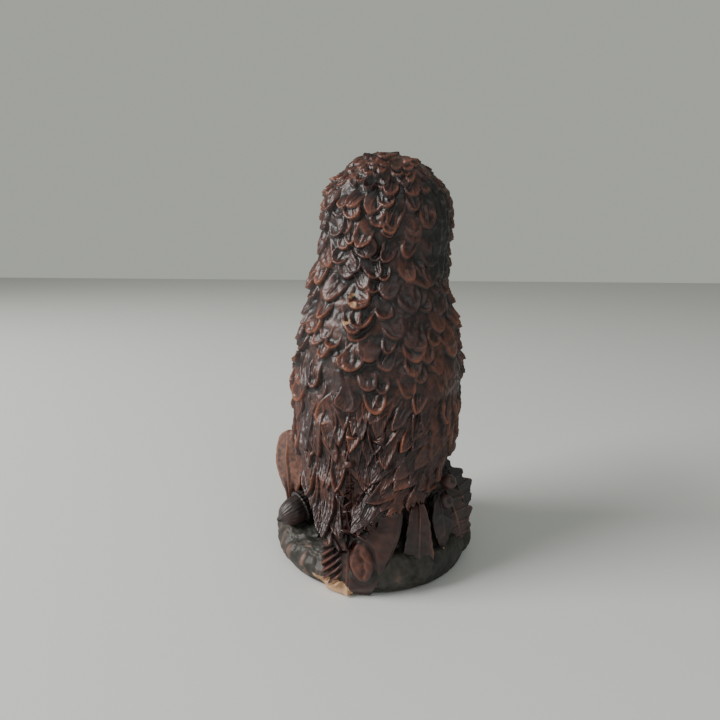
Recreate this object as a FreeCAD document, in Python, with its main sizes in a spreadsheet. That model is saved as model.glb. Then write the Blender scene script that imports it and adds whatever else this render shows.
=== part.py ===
import FreeCAD, Part
import math
import os
import Sketcher
from FreeCAD import Placement, Rotation, Vector

# A standing owl figurine, all lengths in millimetres.
# The owl faces -Y, +Z is up, +X is its left side, and the origin is the middle
# of the resting face.  Heights and radii are measured from that origin.

os.makedirs("parts", exist_ok=True)
doc = FreeCAD.newDocument("OwlFigurine")
sheet = doc.addObject("Spreadsheet::Sheet", "Dims")
nodes = {}

UP = Vector(0, 0, 1)
SIDES = (("left", 1), ("right", -1))
FULL_TURN = 360
VOLUME_MATCH = 0.01      # share by which a written solid may differ from its shape

# ---------------------------------------------------------------- dimensions

DIMENSIONS = {
    "overall_height": 110.0,
    "felt_radius": 23.0,
    "felt_thickness": 1.0,
    "felt_proud": 0.3,
    "mound_foot_radius": 25.0,
    "mound_belly_radius": 28.0,
    "mound_belly_height": 7.0,
    "mound_shoulder_radius": 20.0,
    "mound_shoulder_height": 11.5,
    "mound_top_height": 13.5,
    "stump_foot_radius": 18.5,
    "stump_top_radius": 17.5,
    "stump_foot_height": 8.0,
    "stump_top_height": 23.0,
    "stump_shift": -2.0,
    "wing_thickness": 2.0,
    "wing_gap": 0.4,
    "head_radius": 17.2,
    "head_half_height": 18.6,
    "head_side_shift": -2.2,
    "head_forward_shift": -5.0,
    "head_turn": -22.0,
    "eye_radius": 4.2,
    "eye_spacing": 15.0,
    "eye_reach": 14.6,
    "eye_height": 94.0,
    "disc_radius": 9.0,
    "disc_half_depth": 3.4,
    "disc_spacing": 16.6,
    "disc_reach": 13.4,
    "disc_height": 93.5,
    "disc_splay": 24.0,
    "beak_length": 8.5,
    "beak_root_radius": 2.6,
    "beak_tip_radius": 0.5,
    "beak_reach": 17.8,
    "beak_height": 91.5,
    "beak_drop": 158.0,
    "leg_half_width": 5.2,
    "leg_half_height": 8.5,
    "leg_spacing": 15.0,
    "leg_reach": -15.5,
    "leg_height": 29.0,
    "toe_half_length": 4.8,
    "toe_half_width": 1.9,
    "toe_reach": -16.5,
    "toe_height": 24.2,
    "toe_splay": 24.0,
    "toe_advance": 3.4,
    "talon_advance": 7.4,
    "talon_drop": 140.0,
    "talon_length": 4.2,
    "talon_root_radius": 1.15,
    "talon_tip_radius": 0.3,
    "tail_thickness": 2.2,
    "leaf_thickness": 2.0,
    "berry_radius": 2.1,
    "acorn_radius": 3.9,
    "acorn_half_length": 5.2,
    "acorn_cap_margin": 0.8,
}

# Torso sections from the perch to the neck: height, width, depth, shift along Y.
TORSO_SECTIONS = (
    (19.0, 28.0, 25.0, -2.0),
    (28.0, 38.5, 34.0, -1.5),
    (44.0, 44.0, 39.5, -1.0),
    (57.0, 43.0, 38.5, -1.5),
    (68.0, 39.5, 34.5, -3.0),
    (77.0, 36.0, 31.5, -4.0),
    (84.0, 31.0, 27.0, -4.5),
)

# Inner face of the folded wings and tail coverts, flaring back over the tail.
WING_SECTIONS = (
    (0.0, 38.0, 37.0, 11.0),
    (14.0, 39.0, 38.0, 7.5),
    (28.0, 41.5, 40.0, 1.6),
    (44.0, 44.6, 40.1, -1.0),
    (57.0, 43.6, 39.1, -1.5),
    (68.0, 40.1, 35.1, -3.0),
    (77.0, 36.6, 32.1, -4.0),
)

# Side outline of a folded wing, (Y, Z): over the shoulder, down the back to
# the tip, then up the leading edge.
WING_OUTLINE = (
    (-17.0, 56.0), (-12.0, 67.0), (-2.0, 68.0), (12.0, 57.0), (26.0, 47.0), (35.0, 32.0),
    (34.0, 15.0), (27.0, 16.0), (19.0, 22.0), (9.0, 26.5), (-3.0, 30.0), (-12.0, 38.0),
)

# Outline of the tail coverts seen from behind, (X, Z).
COVERT_OUTLINE = ((-5.5, 46.0), (5.5, 46.0), (3.6, 32.0), (0.0, 20.0), (-3.6, 32.0))

# Outlines of the two tail feathers from behind, (X, Z), parted left of the middle.
TAIL_OUTLINES = {
    "left": ((2.4, 33.0), (6.0, 33.0), (10.0, 16.0), (10.8, 5.0), (9.0, 1.6), (2.4, 1.2)),
    "right": ((2.2, 33.0), (-5.0, 33.0), (-10.0, 22.0), (-8.4, 11.0), (-5.6, 4.5), (-3.0, 1.6),
              (2.2, 1.2)),
}

# Oak leaves around the base.  Heading turns the outward direction from +Y towards
# -X.  A leaf stands on its stem, or hangs from it with the tip near the base; lean
# carries its upper end outward, or inward when negative.
# name: heading, lower end's radius and height, lean, length, width, hangs
LEAVES = {
    "oak_leaf_left_rear": (-76.0, 24.6, 13.0, 2.0, 21.0, 12.5, False),
    "oak_leaf_left_front": (-122.0, 20.5, 11.0, 20.0, 17.0, 13.0, False),
    "oak_leaf_right_rear": (42.0, 24.2, 7.0, -8.0, 16.0, 9.5, True),
    "oak_leaf_right_narrow": (57.0, 24.6, 8.0, -10.0, 17.5, 6.0, True),
    "oak_leaf_right_lower": (74.0, 25.6, 6.5, -16.0, 16.0, 10.5, True),
    "oak_leaf_right_upper": (97.0, 25.6, 11.5, -20.0, 14.5, 10.5, True),
    "oak_leaf_right_front": (130.0, 20.5, 10.5, 20.0, 16.5, 12.5, False),
    "oak_leaf_front": (180.0, 22.5, 9.0, 26.0, 12.0, 13.0, False),
}
LEAF_CUP_RADIUS = 16.0

# Berries beside the right leaves: X, Y, Z of each centre.
BERRIES = {"berry_upper": (-22.9, 9.8, 25.0), "berry_lower": (-23.8, 10.6, 20.3)}

ACORN_CENTRE = (20.0, 12.6, 13.8)
ACORN_TILT = 62.0        # from upright, pointing outward and to the rear

# How far the construction pads and boxes run, beyond every part of the owl.
OUTLINE_REACH = 50.0


def fill_sheet():
    """Write every driving dimension, and the loft sections, as named cells."""
    values = dict(DIMENSIONS)
    for family, sections in (("torso", TORSO_SECTIONS), ("wing", WING_SECTIONS)):
        for number, section in enumerate(sections, start=1):
            for field, value in zip(("height", "width", "depth", "shift"), section):
                values[f"{family}_section_{field}_{number}"] = value
    for row, (name, value) in enumerate(values.items(), start=1):
        sheet.set(f"A{row}", name)
        sheet.set(f"B{row}", str(value))
        sheet.setAlias(f"B{row}", name)
    doc.recompute()


def size(name):
    """Value of one named cell."""
    return float(sheet.get(name))


def evaluate(expression):
    """Value of a sum of named cells, such as Dims.radius + Dims.margin."""
    return sum(size(term.strip().removeprefix("Dims.")) for term in expression.split("+"))


def bind(thing, **expressions):
    """Tie properties of a document object to the sheet (__ stands for a dot)."""
    for path, expression in expressions.items():
        thing.setExpression(path.replace("__", "."), expression)


# ------------------------------------------------------------ shape builders

def origin_plane(body, role):
    return next(f for f in body.Origin.OriginFeatures if f.Role == role)


def new_sketch(body, name, role, offset=None):
    sketch = body.newObject("Sketcher::SketchObject", name)
    sketch.AttachmentSupport = [(origin_plane(body, role), "")]
    sketch.MapMode = "FlatFace"
    if offset is not None:
        sketch.AttachmentOffset = offset
    return sketch


def draw_closed(sketch, points):
    """Closed outline of straight lines through the points."""
    for start, end in zip(points, points[1:] + points[:1]):
        sketch.addGeometry(Part.LineSegment(Vector(*start, 0), Vector(*end, 0)), False)
    count = len(points)
    for index in range(count):
        follower = (index + 1) % count
        sketch.addConstraint(Sketcher.Constraint("Coincident", index, 2, follower, 1))


def draw_smooth_closed(sketch, points):
    """Closed smooth outline that passes through the points."""
    curve = Part.BSplineCurve()
    curve.interpolate([Vector(*point, 0) for point in points], PeriodicFlag=True)
    sketch.addGeometry(curve, False)


def elliptic_loft(name, family, count, widen="0"):
    """Smooth loft through ellipses whose sizes live in the sheet."""
    body = doc.addObject("PartDesign::Body", name)
    sketches = []
    for number in range(1, count + 1):
        prefix = f"Dims.{family}_section"
        sketch = new_sketch(body, f"{name}_section_{number}", "XY_Plane")
        half_width = size(f"{family}_section_width_{number}") / 2
        half_depth = size(f"{family}_section_depth_{number}") / 2
        ellipse = Part.Ellipse(Vector(0, 0, 0), half_width, half_depth)
        curve = sketch.addGeometry(ellipse, False)
        sketch.exposeInternalGeometry(curve)
        long_axis, short_axis = 1, 2
        sketch.addConstraint(Sketcher.Constraint("Coincident", curve, 3, -1, 1))
        sketch.addConstraint(Sketcher.Constraint("Horizontal", long_axis))
        for label, axis, value in (("width", long_axis, half_width * 2),
                                   ("depth", short_axis, half_depth * 2)):
            index = sketch.addConstraint(Sketcher.Constraint("Distance", axis, value))
            sketch.renameConstraint(index, label)
            sketch.setExpression(f"Constraints.{label}",
                                 f"{prefix}_{label}_{number} + 2 * {widen}")
        sketch.setExpression("AttachmentOffset.Base.z", f"{prefix}_height_{number}")
        sketch.setExpression("AttachmentOffset.Base.y", f"{prefix}_shift_{number}")
        sketches.append(sketch)
    doc.recompute()
    loft = body.newObject("PartDesign::AdditiveLoft", f"{name}_loft")
    loft.Profile = sketches[0]
    loft.Sections = sketches[1:]
    doc.recompute()
    return body


def revolved(name, profile, bindings):
    """Solid of revolution about Z from (radius, height) points, bound by cell names."""
    body = doc.addObject("PartDesign::Body", name)
    sketch = new_sketch(body, f"{name}_profile", "XZ_Plane")
    draw_closed(sketch, profile)
    for index, (radius_cell, height_cell) in enumerate(bindings):
        for kind, cell in (("DistanceX", radius_cell), ("DistanceY", height_cell)):
            axis = 0 if kind == "DistanceX" else 1
            value = profile[index][axis]
            number = sketch.addConstraint(Sketcher.Constraint(kind, -1, 1, index, 1, value))
            if cell is not None:
                label = f"{kind}_{index}"
                sketch.renameConstraint(number, label)
                sketch.setExpression(f"Constraints.{label}", f"{cell}")
    revolution = body.newObject("PartDesign::Revolution", f"{name}_turn")
    revolution.Profile = sketch
    revolution.ReferenceAxis = (sketch, ["V_Axis"])
    revolution.Angle = FULL_TURN
    doc.recompute()
    return body


def spheroid(name, radius, half_length, centre, turn=Rotation()):
    """Ellipse turned about Z; radius and half length are sheet expressions."""
    body = doc.addObject("PartDesign::Body", name)
    sketch = new_sketch(body, f"{name}_profile", "XZ_Plane")
    across = evaluate(radius)
    along = evaluate(half_length)
    tall = along > across
    major = Vector(0, along, 0) if tall else Vector(across, 0, 0)
    minor = Vector(-across, 0, 0) if tall else Vector(0, along, 0)
    ellipse = Part.Ellipse(major, minor, Vector(0, 0, 0))
    start = -math.pi if tall else -math.pi / 2
    arc = Part.ArcOfEllipse(ellipse, start, start + math.pi)
    sketch.addGeometry(arc, False)
    sketch.exposeInternalGeometry(0)
    major_axis, minor_axis = 1, 2
    sketch.addConstraint(Sketcher.Constraint("Coincident", 0, 3, -1, 1))
    sketch.addConstraint(Sketcher.Constraint("Vertical" if tall else "Horizontal", major_axis))
    radius_axis = minor_axis if tall else major_axis
    length_axis = major_axis if tall else minor_axis
    for label, axis, cell, value in (("radius", radius_axis, radius, across),
                                     ("half_length", length_axis, half_length, along)):
        number = sketch.addConstraint(Sketcher.Constraint("Distance", axis, 2 * value))
        sketch.renameConstraint(number, label)
        sketch.setExpression(f"Constraints.{label}", f"2 * ({cell})")
    closing = sketch.addGeometry(Part.LineSegment(arc.StartPoint, arc.EndPoint), False)
    sketch.addConstraint(Sketcher.Constraint("Coincident", closing, 1, 0, 1))
    sketch.addConstraint(Sketcher.Constraint("Coincident", closing, 2, 0, 2))
    sketch.addConstraint(Sketcher.Constraint("PointOnObject", 0, 1, -2))
    sketch.addConstraint(Sketcher.Constraint("PointOnObject", 0, 2, -2))
    revolution = body.newObject("PartDesign::Revolution", f"{name}_turn")
    revolution.Profile = sketch
    revolution.ReferenceAxis = (sketch, ["V_Axis"])
    revolution.Angle = FULL_TURN
    body.Placement = Placement(Vector(*centre), turn)
    doc.recompute()
    return body


def cone(name, root_radius, tip_radius, length, place):
    thing = doc.addObject("Part::Cone", name)
    bind(thing, Radius1=root_radius, Radius2=tip_radius, Height=length)
    thing.Placement = place
    return thing


def combine(kind, name, first, second):
    """Boolean of two document objects: kind is Cut, Common or Fuse."""
    result = doc.addObject(f"Part::{kind}", name)
    result.Base = first
    result.Tool = second
    doc.recompute()
    return result


def carve(thing, *neighbours):
    """Cut each neighbour out of a thing, so that the pieces only touch."""
    for neighbour in neighbours:
        thing = combine("Cut", f"{thing.Name}_less_{neighbour.Name[:10]}", thing, neighbour)
    return thing


def keep(node, thing):
    """Give a finished piece its node name."""
    thing.Label = node
    nodes[node] = thing
    return thing


def turned_about_z(point, degrees):
    return Rotation(UP, degrees).multVec(Vector(*point))


# ------------------------------------------------------------- base and perch

def make_base(tail_slot):
    """Felt pad, let into the underside of a rounded earth mound cut away for the tail."""
    pad = doc.addObject("Part::Cylinder", "felt_disc")
    bind(pad, Radius="Dims.felt_radius", Height="Dims.felt_thickness")
    keep("felt_pad", pad)

    profile = (
        (0.0, size("felt_proud")),
        (size("mound_foot_radius"), size("felt_proud")),
        (size("mound_belly_radius"), size("mound_belly_height")),
        (size("mound_shoulder_radius"), size("mound_shoulder_height")),
        (0.0, size("mound_top_height")),
    )
    bindings = (
        (None, "Dims.felt_proud"),
        ("Dims.mound_foot_radius", "Dims.felt_proud"),
        ("Dims.mound_belly_radius", "Dims.mound_belly_height"),
        ("Dims.mound_shoulder_radius", "Dims.mound_shoulder_height"),
        (None, "Dims.mound_top_height"),
    )
    mound = revolved("mound_body", profile, bindings)
    return keep("base_mound", carve(mound, pad, tail_slot))


def make_stump(mound):
    stump = cone("stump_cone", "Dims.stump_foot_radius", "Dims.stump_top_radius",
                 "Dims.stump_top_height - Dims.stump_foot_height", Placement())
    bind(stump, Placement__Base__y="Dims.stump_shift", Placement__Base__z="Dims.stump_foot_height")
    return keep("perch_stump", carve(stump, mound))


# -------------------------------------------------------------- head and face

def head_frame():
    """Placement that carries face positions, drawn looking along -Y, to the head."""
    centre = Vector(size("head_side_shift"), size("head_forward_shift"), 0)
    return Placement(centre, Rotation(UP, size("head_turn")))


def make_face():
    """Round-backed eyes, facial discs and beak, each seated on the curve of the head."""
    frame = head_frame()
    eyes = {}
    discs = {}
    for side, sign in SIDES:
        eye_place = frame.multVec(Vector(sign * size("eye_spacing") / 2, -size("eye_reach"),
                                         size("eye_height")))
        eyes[side] = doc.addObject("Part::Sphere", f"eye_ball_{side}")
        bind(eyes[side], Radius="Dims.eye_radius")
        eyes[side].Placement.Base = eye_place
        disc_place = frame.multVec(Vector(sign * size("disc_spacing") / 2, -size("disc_reach"),
                                          size("disc_height")))
        splay = Rotation(UP, size("head_turn") + sign * size("disc_splay"))
        facing = splay.multiply(Rotation(Vector(1, 0, 0), 90.0))
        discs[side] = spheroid(f"disc_dome_{side}", "Dims.disc_radius",
                               "Dims.disc_half_depth", disc_place, facing)
    crown_height = size("overall_height") - size("head_half_height")
    centre = frame.multVec(Vector(0, 0, crown_height))
    skull = spheroid("skull", "Dims.head_radius", "Dims.head_half_height", centre)
    skull.setExpression("Placement.Base.z", "Dims.overall_height - Dims.head_half_height")

    beak_root = frame.multVec(Vector(0, -size("beak_reach"), size("beak_height")))
    drop = Rotation(Vector(1, 0, 0), size("beak_drop"))
    beak = cone("beak_cone", "Dims.beak_root_radius", "Dims.beak_tip_radius",
                "Dims.beak_length", Placement(beak_root, frame.Rotation.multiply(drop)))
    doc.recompute()

    for side, _ in SIDES:
        keep(f"eye_{side}", carve(eyes[side], skull))
    keep("head", skull)
    left_disc = carve(discs["left"], skull, eyes["left"], beak)
    keep("facial_disc_left", left_disc)
    right_disc = carve(discs["right"], skull, eyes["right"], beak)
    keep("facial_disc_right", right_disc)
    keep("beak", carve(beak, skull))
    return skull


# ------------------------------------------------------------ torso and wings

def outline_pad(name, role, outline, smooth=True):
    """Outline drawn on an origin plane and padded to both sides of it."""
    body = doc.addObject("PartDesign::Body", name)
    sketch = new_sketch(body, f"{name}_outline", role)
    if smooth:
        draw_smooth_closed(sketch, outline)
    else:
        draw_closed(sketch, outline)
    pad = body.newObject("PartDesign::Pad", f"{name}_pad")
    pad.Profile = sketch
    pad.Midplane = True
    pad.Length = 2 * OUTLINE_REACH
    doc.recompute()
    return body


def half_space(name, sign, inner_x):
    """Box that fills one side of the owl, starting a little off the middle."""
    box = doc.addObject("Part::Box", name)
    box.Length = OUTLINE_REACH
    box.Width = 2 * OUTLINE_REACH
    box.Height = size("overall_height")
    start = inner_x if sign > 0 else -inner_x - OUTLINE_REACH
    box.Placement.Base = Vector(start, -OUTLINE_REACH, 0)
    return box


def rear_part(name, blank):
    """The part of a blank that lies behind the plane Y=0."""
    rear = doc.addObject("Part::Box", f"{name}_box")
    rear.Length = 2 * OUTLINE_REACH
    rear.Width = OUTLINE_REACH
    rear.Height = size("overall_height")
    rear.Placement.Base = Vector(-OUTLINE_REACH, 0, 0)
    return combine("Common", name, blank, rear)


def make_wings_and_tail():
    """Folded wings over tail coverts, and the tail feathers just inside them."""
    count = len(WING_SECTIONS)
    inner = elliptic_loft("wing_lining", "wing", count)
    outer = elliptic_loft("wing_cover", "wing", count, "Dims.wing_thickness")
    core = elliptic_loft("tail_core", "wing", count, "-1 * Dims.tail_thickness")
    shell = combine("Cut", "wing_shell", outer, inner)

    covert_pad = outline_pad("covert_back", "XZ_Plane", COVERT_OUTLINE, False)
    covert_slot = rear_part("covert_slot", covert_pad)
    keep("tail_coverts", combine("Common", "covert_shell", shell, covert_slot))

    side_outline = outline_pad("wing_side", "YZ_Plane", WING_OUTLINE)
    slots = []
    for side, sign in SIDES:
        half = half_space(f"half_{side}", sign, size("wing_gap"))
        blank = combine("Common", f"wing_blank_{side}", side_outline, half)
        blank = combine("Cut", f"wing_notched_{side}", blank, covert_slot)
        keep(f"wing_{side}", combine("Common", f"wing_raw_{side}", shell, blank))

        tail_pad = outline_pad(f"tail_back_{side}", "XZ_Plane", TAIL_OUTLINES[side], False)
        tail_rear = rear_part(f"tail_rear_{side}", tail_pad)
        slot = combine("Cut", f"tail_slot_{side}", tail_rear, core)
        keep(f"tail_feather_{side}", combine("Common", f"tail_raw_{side}", inner, slot))
        slots.append(slot)
    return combine("Fuse", "tail_slot", *slots)


# ------------------------------------------------------------ legs and leaves

def make_legs(torso, stump):
    """Feathered legs, three front toes to each foot, and a talon on each toe."""
    splay = size("toe_splay")
    for side, sign in SIDES:
        hip = (sign * size("leg_spacing") / 2, size("leg_reach"), size("leg_height"))
        thigh = spheroid(f"thigh_{side}", "Dims.leg_half_width", "Dims.leg_half_height", hip)
        leg = keep(f"leg_{side}", carve(thigh, torso, stump))
        taken = [torso, stump, leg]
        for toe, angle in (("inner", -sign * splay), ("middle", 0.0), ("outer", sign * splay)):
            heading = Rotation(UP, angle)
            ankle = Vector(hip[0], size("toe_reach"), size("toe_height"))
            forward = heading.multVec(Vector(0, -1, 0))
            lying = heading.multiply(Rotation(Vector(1, 0, 0), 90.0))
            pad = spheroid(f"toe_{toe}_{side}", "Dims.toe_half_width", "Dims.toe_half_length",
                           ankle + forward * size("toe_advance"), lying)
            keep(f"toe_{side}_{toe}", carve(pad, *taken))
            claw_root = ankle + forward * size("talon_advance")
            claw_turn = heading.multiply(Rotation(Vector(1, 0, 0), size("talon_drop")))
            claw = cone(f"claw_{toe}_{side}", "Dims.talon_root_radius",
                        "Dims.talon_tip_radius", "Dims.talon_length",
                        Placement(claw_root, claw_turn))
            keep(f"talon_{side}_{toe}", carve(claw, pad, stump))
            taken += [pad, claw]


def leaf_shape(length, width, thickness):
    """Cupped leaf standing on its stem end, thickness towards +Y from the plane Y=0."""
    lobes = ((0.10, 0.0), (0.34, 0.22), (0.26, 0.34), (0.50, 0.52), (0.36, 0.66),
             (0.34, 0.84), (0.0, 1.0))
    edge = [Vector(width * across, 0, length * along) for across, along in lobes]
    mirrored = [Vector(-point.x, 0, point.z) for point in reversed(edge[:-1])]
    curve = Part.BSplineCurve()
    curve.interpolate(edge + mirrored)
    stem = Part.LineSegment(mirrored[-1], edge[0])
    face = Part.Face(Part.Wire([curve.toShape(), stem.toShape()]))
    reach = LEAF_CUP_RADIUS
    block = face.extrude(Vector(0, 2 * reach, 0))
    block.translate(Vector(0, -reach, 0))
    cup_centre = Vector(0, -LEAF_CUP_RADIUS, length / 2)
    outer = Part.makeSphere(LEAF_CUP_RADIUS + thickness, cup_centre)
    inner = Part.makeSphere(LEAF_CUP_RADIUS, cup_centre)
    return block.common(outer.cut(inner))


def make_leaves(mound, stump):
    """Oak leaves standing around the stump, each clear of the ones before it."""
    taken = [mound, stump, nodes["wing_left"], nodes["wing_right"]]
    fixed = len(taken)
    for node, (heading, radius, height, lean, length, width, hangs) in LEAVES.items():
        leaf = doc.addObject("Part::Feature", f"{node}_blank")
        leaf.Shape = leaf_shape(length, width, size("leaf_thickness"))
        outward = turned_about_z((0, radius, 0), heading)
        turn = Rotation(UP, heading).multiply(Rotation(Vector(1, 0, 0), -lean))
        root = Vector(0, 0, 0)
        if hangs:
            root = turn.multVec(Vector(0, 0, length))
            turn = turn.multiply(Rotation(Vector(0, 1, 0), 180))
        leaf.Placement = Placement(outward + Vector(0, 0, height) + root, turn)
        piece = carve(leaf, *taken)
        keep(node, piece)
        taken.append(leaf)
    return taken[fixed:]


def make_fruit(mound, stump, leaves):
    """Two berries and an acorn in its cup, lying among the leaves."""
    for node, centre in BERRIES.items():
        berry = doc.addObject("Part::Sphere", f"{node}_ball")
        bind(berry, Radius="Dims.berry_radius")
        berry.Placement.Base = Vector(*centre)
        doc.recompute()
        keep(node, carve(berry, mound, stump, *leaves))
    tilt = Rotation(Vector(-1, 1, 0), ACORN_TILT)
    nut = spheroid("acorn_kernel", "Dims.acorn_radius", "Dims.acorn_half_length",
                   ACORN_CENTRE, tilt)
    cup = spheroid("acorn_cup", "Dims.acorn_radius + Dims.acorn_cap_margin",
                   "Dims.acorn_half_length + Dims.acorn_cap_margin", ACORN_CENTRE, tilt)
    side = 4 * size("acorn_radius")
    top_half = doc.addObject("Part::Box", "acorn_cup_limit")
    top_half.Length = side
    top_half.Width = side
    top_half.Height = side
    centring = Placement(Vector(-side / 2, -side / 2, 0), Rotation())
    top_half.Placement = Placement(Vector(*ACORN_CENTRE), tilt).multiply(centring)
    cap = carve(cup, top_half)
    keep("acorn_nut", carve(nut, mound, stump, *leaves))
    keep("acorn_cap", carve(cap, nut, mound, stump, *leaves))


def check_and_write():
    """Refuse a broken document, then write one STEP file for each node."""
    doc.recompute()
    for thing in doc.Objects:
        if "Invalid" in thing.State or "Error" in thing.State:
            raise RuntimeError(f"{thing.Name} did not build: {thing.State}")
    for node, thing in nodes.items():
        shape = thing.Shape
        if shape.isNull() or not shape.isValid() or len(shape.Solids) != 1:
            raise RuntimeError(f"{node} is not one valid solid ({len(shape.Solids)} solids)")
        shape.exportStep(f"parts/{node}.step")
        written = Part.Shape()
        written.read(f"parts/{node}.step")
        if abs(written.Volume - shape.Volume) > VOLUME_MATCH * shape.Volume:
            raise RuntimeError(f"{node} changed when it was written")


fill_sheet()
tail_slot = make_wings_and_tail()
mound = make_base(tail_slot)
stump = make_stump(mound)
skull = make_face()
torso_blank = elliptic_loft("torso_body", "torso", len(TORSO_SECTIONS))
torso = keep("torso", carve(torso_blank, skull, stump))
make_legs(torso, stump)
leaves = make_leaves(mound, stump)
make_fruit(mound, stump, leaves)
check_and_write()
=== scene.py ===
import math

import bpy
import numpy as np
from mathutils import Matrix, Vector


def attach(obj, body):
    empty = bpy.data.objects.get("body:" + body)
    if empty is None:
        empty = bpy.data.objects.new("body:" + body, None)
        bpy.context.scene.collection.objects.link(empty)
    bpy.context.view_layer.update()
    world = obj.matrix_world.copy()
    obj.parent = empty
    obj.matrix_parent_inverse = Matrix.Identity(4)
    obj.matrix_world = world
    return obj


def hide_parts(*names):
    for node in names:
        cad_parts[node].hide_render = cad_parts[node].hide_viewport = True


# An owl figurine in cold-cast resin.  Lengths are millimetres until mesh_from()
# turns them into metres.  The owl faces -Y, +Z is up and +X is its left side.
# Angles round the body are degrees from +X towards +Y, so its back is at 90.

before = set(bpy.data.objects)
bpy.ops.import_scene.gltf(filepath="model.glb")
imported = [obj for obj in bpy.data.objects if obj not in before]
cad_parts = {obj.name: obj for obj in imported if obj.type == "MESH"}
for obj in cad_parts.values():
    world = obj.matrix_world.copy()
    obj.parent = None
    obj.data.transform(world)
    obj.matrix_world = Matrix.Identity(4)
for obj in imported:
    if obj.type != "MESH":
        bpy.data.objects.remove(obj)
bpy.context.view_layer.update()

MM = 0.001
FINE_STEP = 0.29         # distance between vertex rows on the head and torso
rng = np.random.default_rng(7)

# ------------------------------------------------------------------ numbers

def smoothstep(x, low, high):
    t = np.clip((x - low) / (high - low), 0.0, 1.0)
    return t * t * (3.0 - 2.0 * t)


def bell(x, centre, width):
    return np.exp(-((x - centre) / width) ** 2)


def lattice_value(cell, seed):
    """Repeatable random value in -1..1 for whole-number cells (n, 3)."""
    c = cell.astype(np.int64).astype(np.uint64)
    key = c[..., 0] * np.uint64(374761393) + c[..., 1] * np.uint64(668265263)
    key = key + c[..., 2] * np.uint64(2246822519) + np.uint64(seed * 3266489917)
    key = (key ^ (key >> np.uint64(15))) * np.uint64(2654435761)
    key = key ^ (key >> np.uint64(13))
    return (key & np.uint64(65535)).astype(float) / 32767.5 - 1.0


def noise(points, size, seed=0):
    """Smooth value noise in -1..1 with features about size across."""
    scaled = points / size
    cell = np.floor(scaled)
    part = scaled - cell
    part = part * part * (3.0 - 2.0 * part)
    total = 0.0
    for corner in np.ndindex(2, 2, 2):
        weight = np.prod(np.where(np.array(corner) == 1, part, 1.0 - part), axis=-1)
        total = total + weight * lattice_value(cell + np.array(corner), seed)
    return total


def fractal(points, size, octaves=3, seed=0):
    total = 0.0
    for octave in range(octaves):
        total = total + noise(points, size / 2 ** octave, seed + octave) / 2 ** octave
    return total


def unit(vectors):
    return vectors / np.maximum(np.linalg.norm(vectors, axis=-1, keepdims=True), 1e-9)


def spline(points, count):
    """Catmull-Rom curve through the points, sampled evenly along its parameter."""
    knots = np.asarray(points, float)
    padded = np.vstack([2 * knots[0] - knots[1], knots, 2 * knots[-1] - knots[-2]])
    t = np.linspace(0, len(knots) - 1 - 1e-9, count)
    k = t.astype(int)
    f = (t - k)[:, None]
    a, b, c, d = padded[k], padded[k + 1], padded[k + 2], padded[k + 3]
    return 0.5 * (2 * b + (c - a) * f + (2 * a - 5 * b + 4 * c - d) * f ** 2
                  + (3 * b - a - 3 * c + d) * f ** 3)


def grid_normals(grid, wrapped):
    along = np.gradient(grid, axis=0)
    if wrapped:
        across = (np.roll(grid, -1, axis=1) - np.roll(grid, 1, axis=1)) / 2
    else:
        across = np.gradient(grid, axis=1)
    return unit(np.cross(along, across))


def blurred(field, passes, wrapped):
    """Field softened by repeated three-point averages along both grid axes."""
    soft = field.copy()
    for _ in range(passes):
        edge = np.pad(soft, ((1, 1), (0, 0)), mode="edge")
        soft = (edge[:-2] + edge[1:-1] + edge[2:]) / 3
        edge = np.pad(soft, ((0, 0), (1, 1)), mode="wrap" if wrapped else "edge")
        soft = (edge[:, :-2] + edge[:, 1:-1] + edge[:, 2:]) / 3
    return soft


def relief_of(height, wrapped, passes=10, full=0.28):
    """How far each point stands above (+1) or below (-1) its surroundings."""
    return np.clip((height - blurred(height, passes, wrapped)) / full, -1.0, 1.0)


# ------------------------------------------------------------------- meshes

def mesh_from(name, points, faces, material, attributes=None, smooth=True):
    """Mesh object from millimetre points and index arrays of triangles or quads."""
    mesh = bpy.data.meshes.new(name)
    mesh.vertices.add(len(points))
    mesh.vertices.foreach_set("co", (np.asarray(points) * MM).astype(np.float32).ravel())
    corners = np.concatenate([np.asarray(block).ravel() for block in faces])
    sizes = np.concatenate([np.full(len(block), block.shape[1]) for block in faces])
    mesh.loops.add(len(corners))
    mesh.loops.foreach_set("vertex_index", corners.astype(np.int32))
    mesh.polygons.add(len(sizes))
    starts = np.concatenate([[0], np.cumsum(sizes)[:-1]])
    mesh.polygons.foreach_set("loop_start", starts.astype(np.int32))
    mesh.polygons.foreach_set("use_smooth", np.full(len(sizes), smooth))
    mesh.update(calc_edges=True)
    for label, values in (attributes or {}).items():
        layer = mesh.attributes.new(label, "FLOAT", "POINT")
        layer.data.foreach_set("value", np.asarray(values, np.float32).ravel())
    mesh.materials.append(material)
    piece = bpy.data.objects.new(name, mesh)
    bpy.context.scene.collection.objects.link(piece)
    return piece


def quads_of(rows, columns, wrapped):
    row = np.arange(rows - 1)[:, None]
    column = np.arange(columns if wrapped else columns - 1)[None, :]
    after = (column + 1) % columns
    a = row * columns + column
    b = row * columns + after
    c = (row + 1) * columns + after
    d = (row + 1) * columns + column
    return np.stack([a, b, c, d], -1).reshape(-1, 4)


def outward(points, faces):
    """Turn every face over when the closed surface encloses a negative volume."""
    volume = 0.0
    for block in faces:
        p = points[block]
        for k in range(1, block.shape[1] - 1):
            volume += np.einsum("ij,ij->i", p[:, 0], np.cross(p[:, k], p[:, k + 1])).sum()
    return faces if volume > 0 else [block[:, ::-1] for block in faces]


def full_turn(columns):
    """Angles of the columns of a wrapped grid, as one row."""
    return (np.arange(columns) * 2 * math.pi / columns)[None, :]


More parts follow.
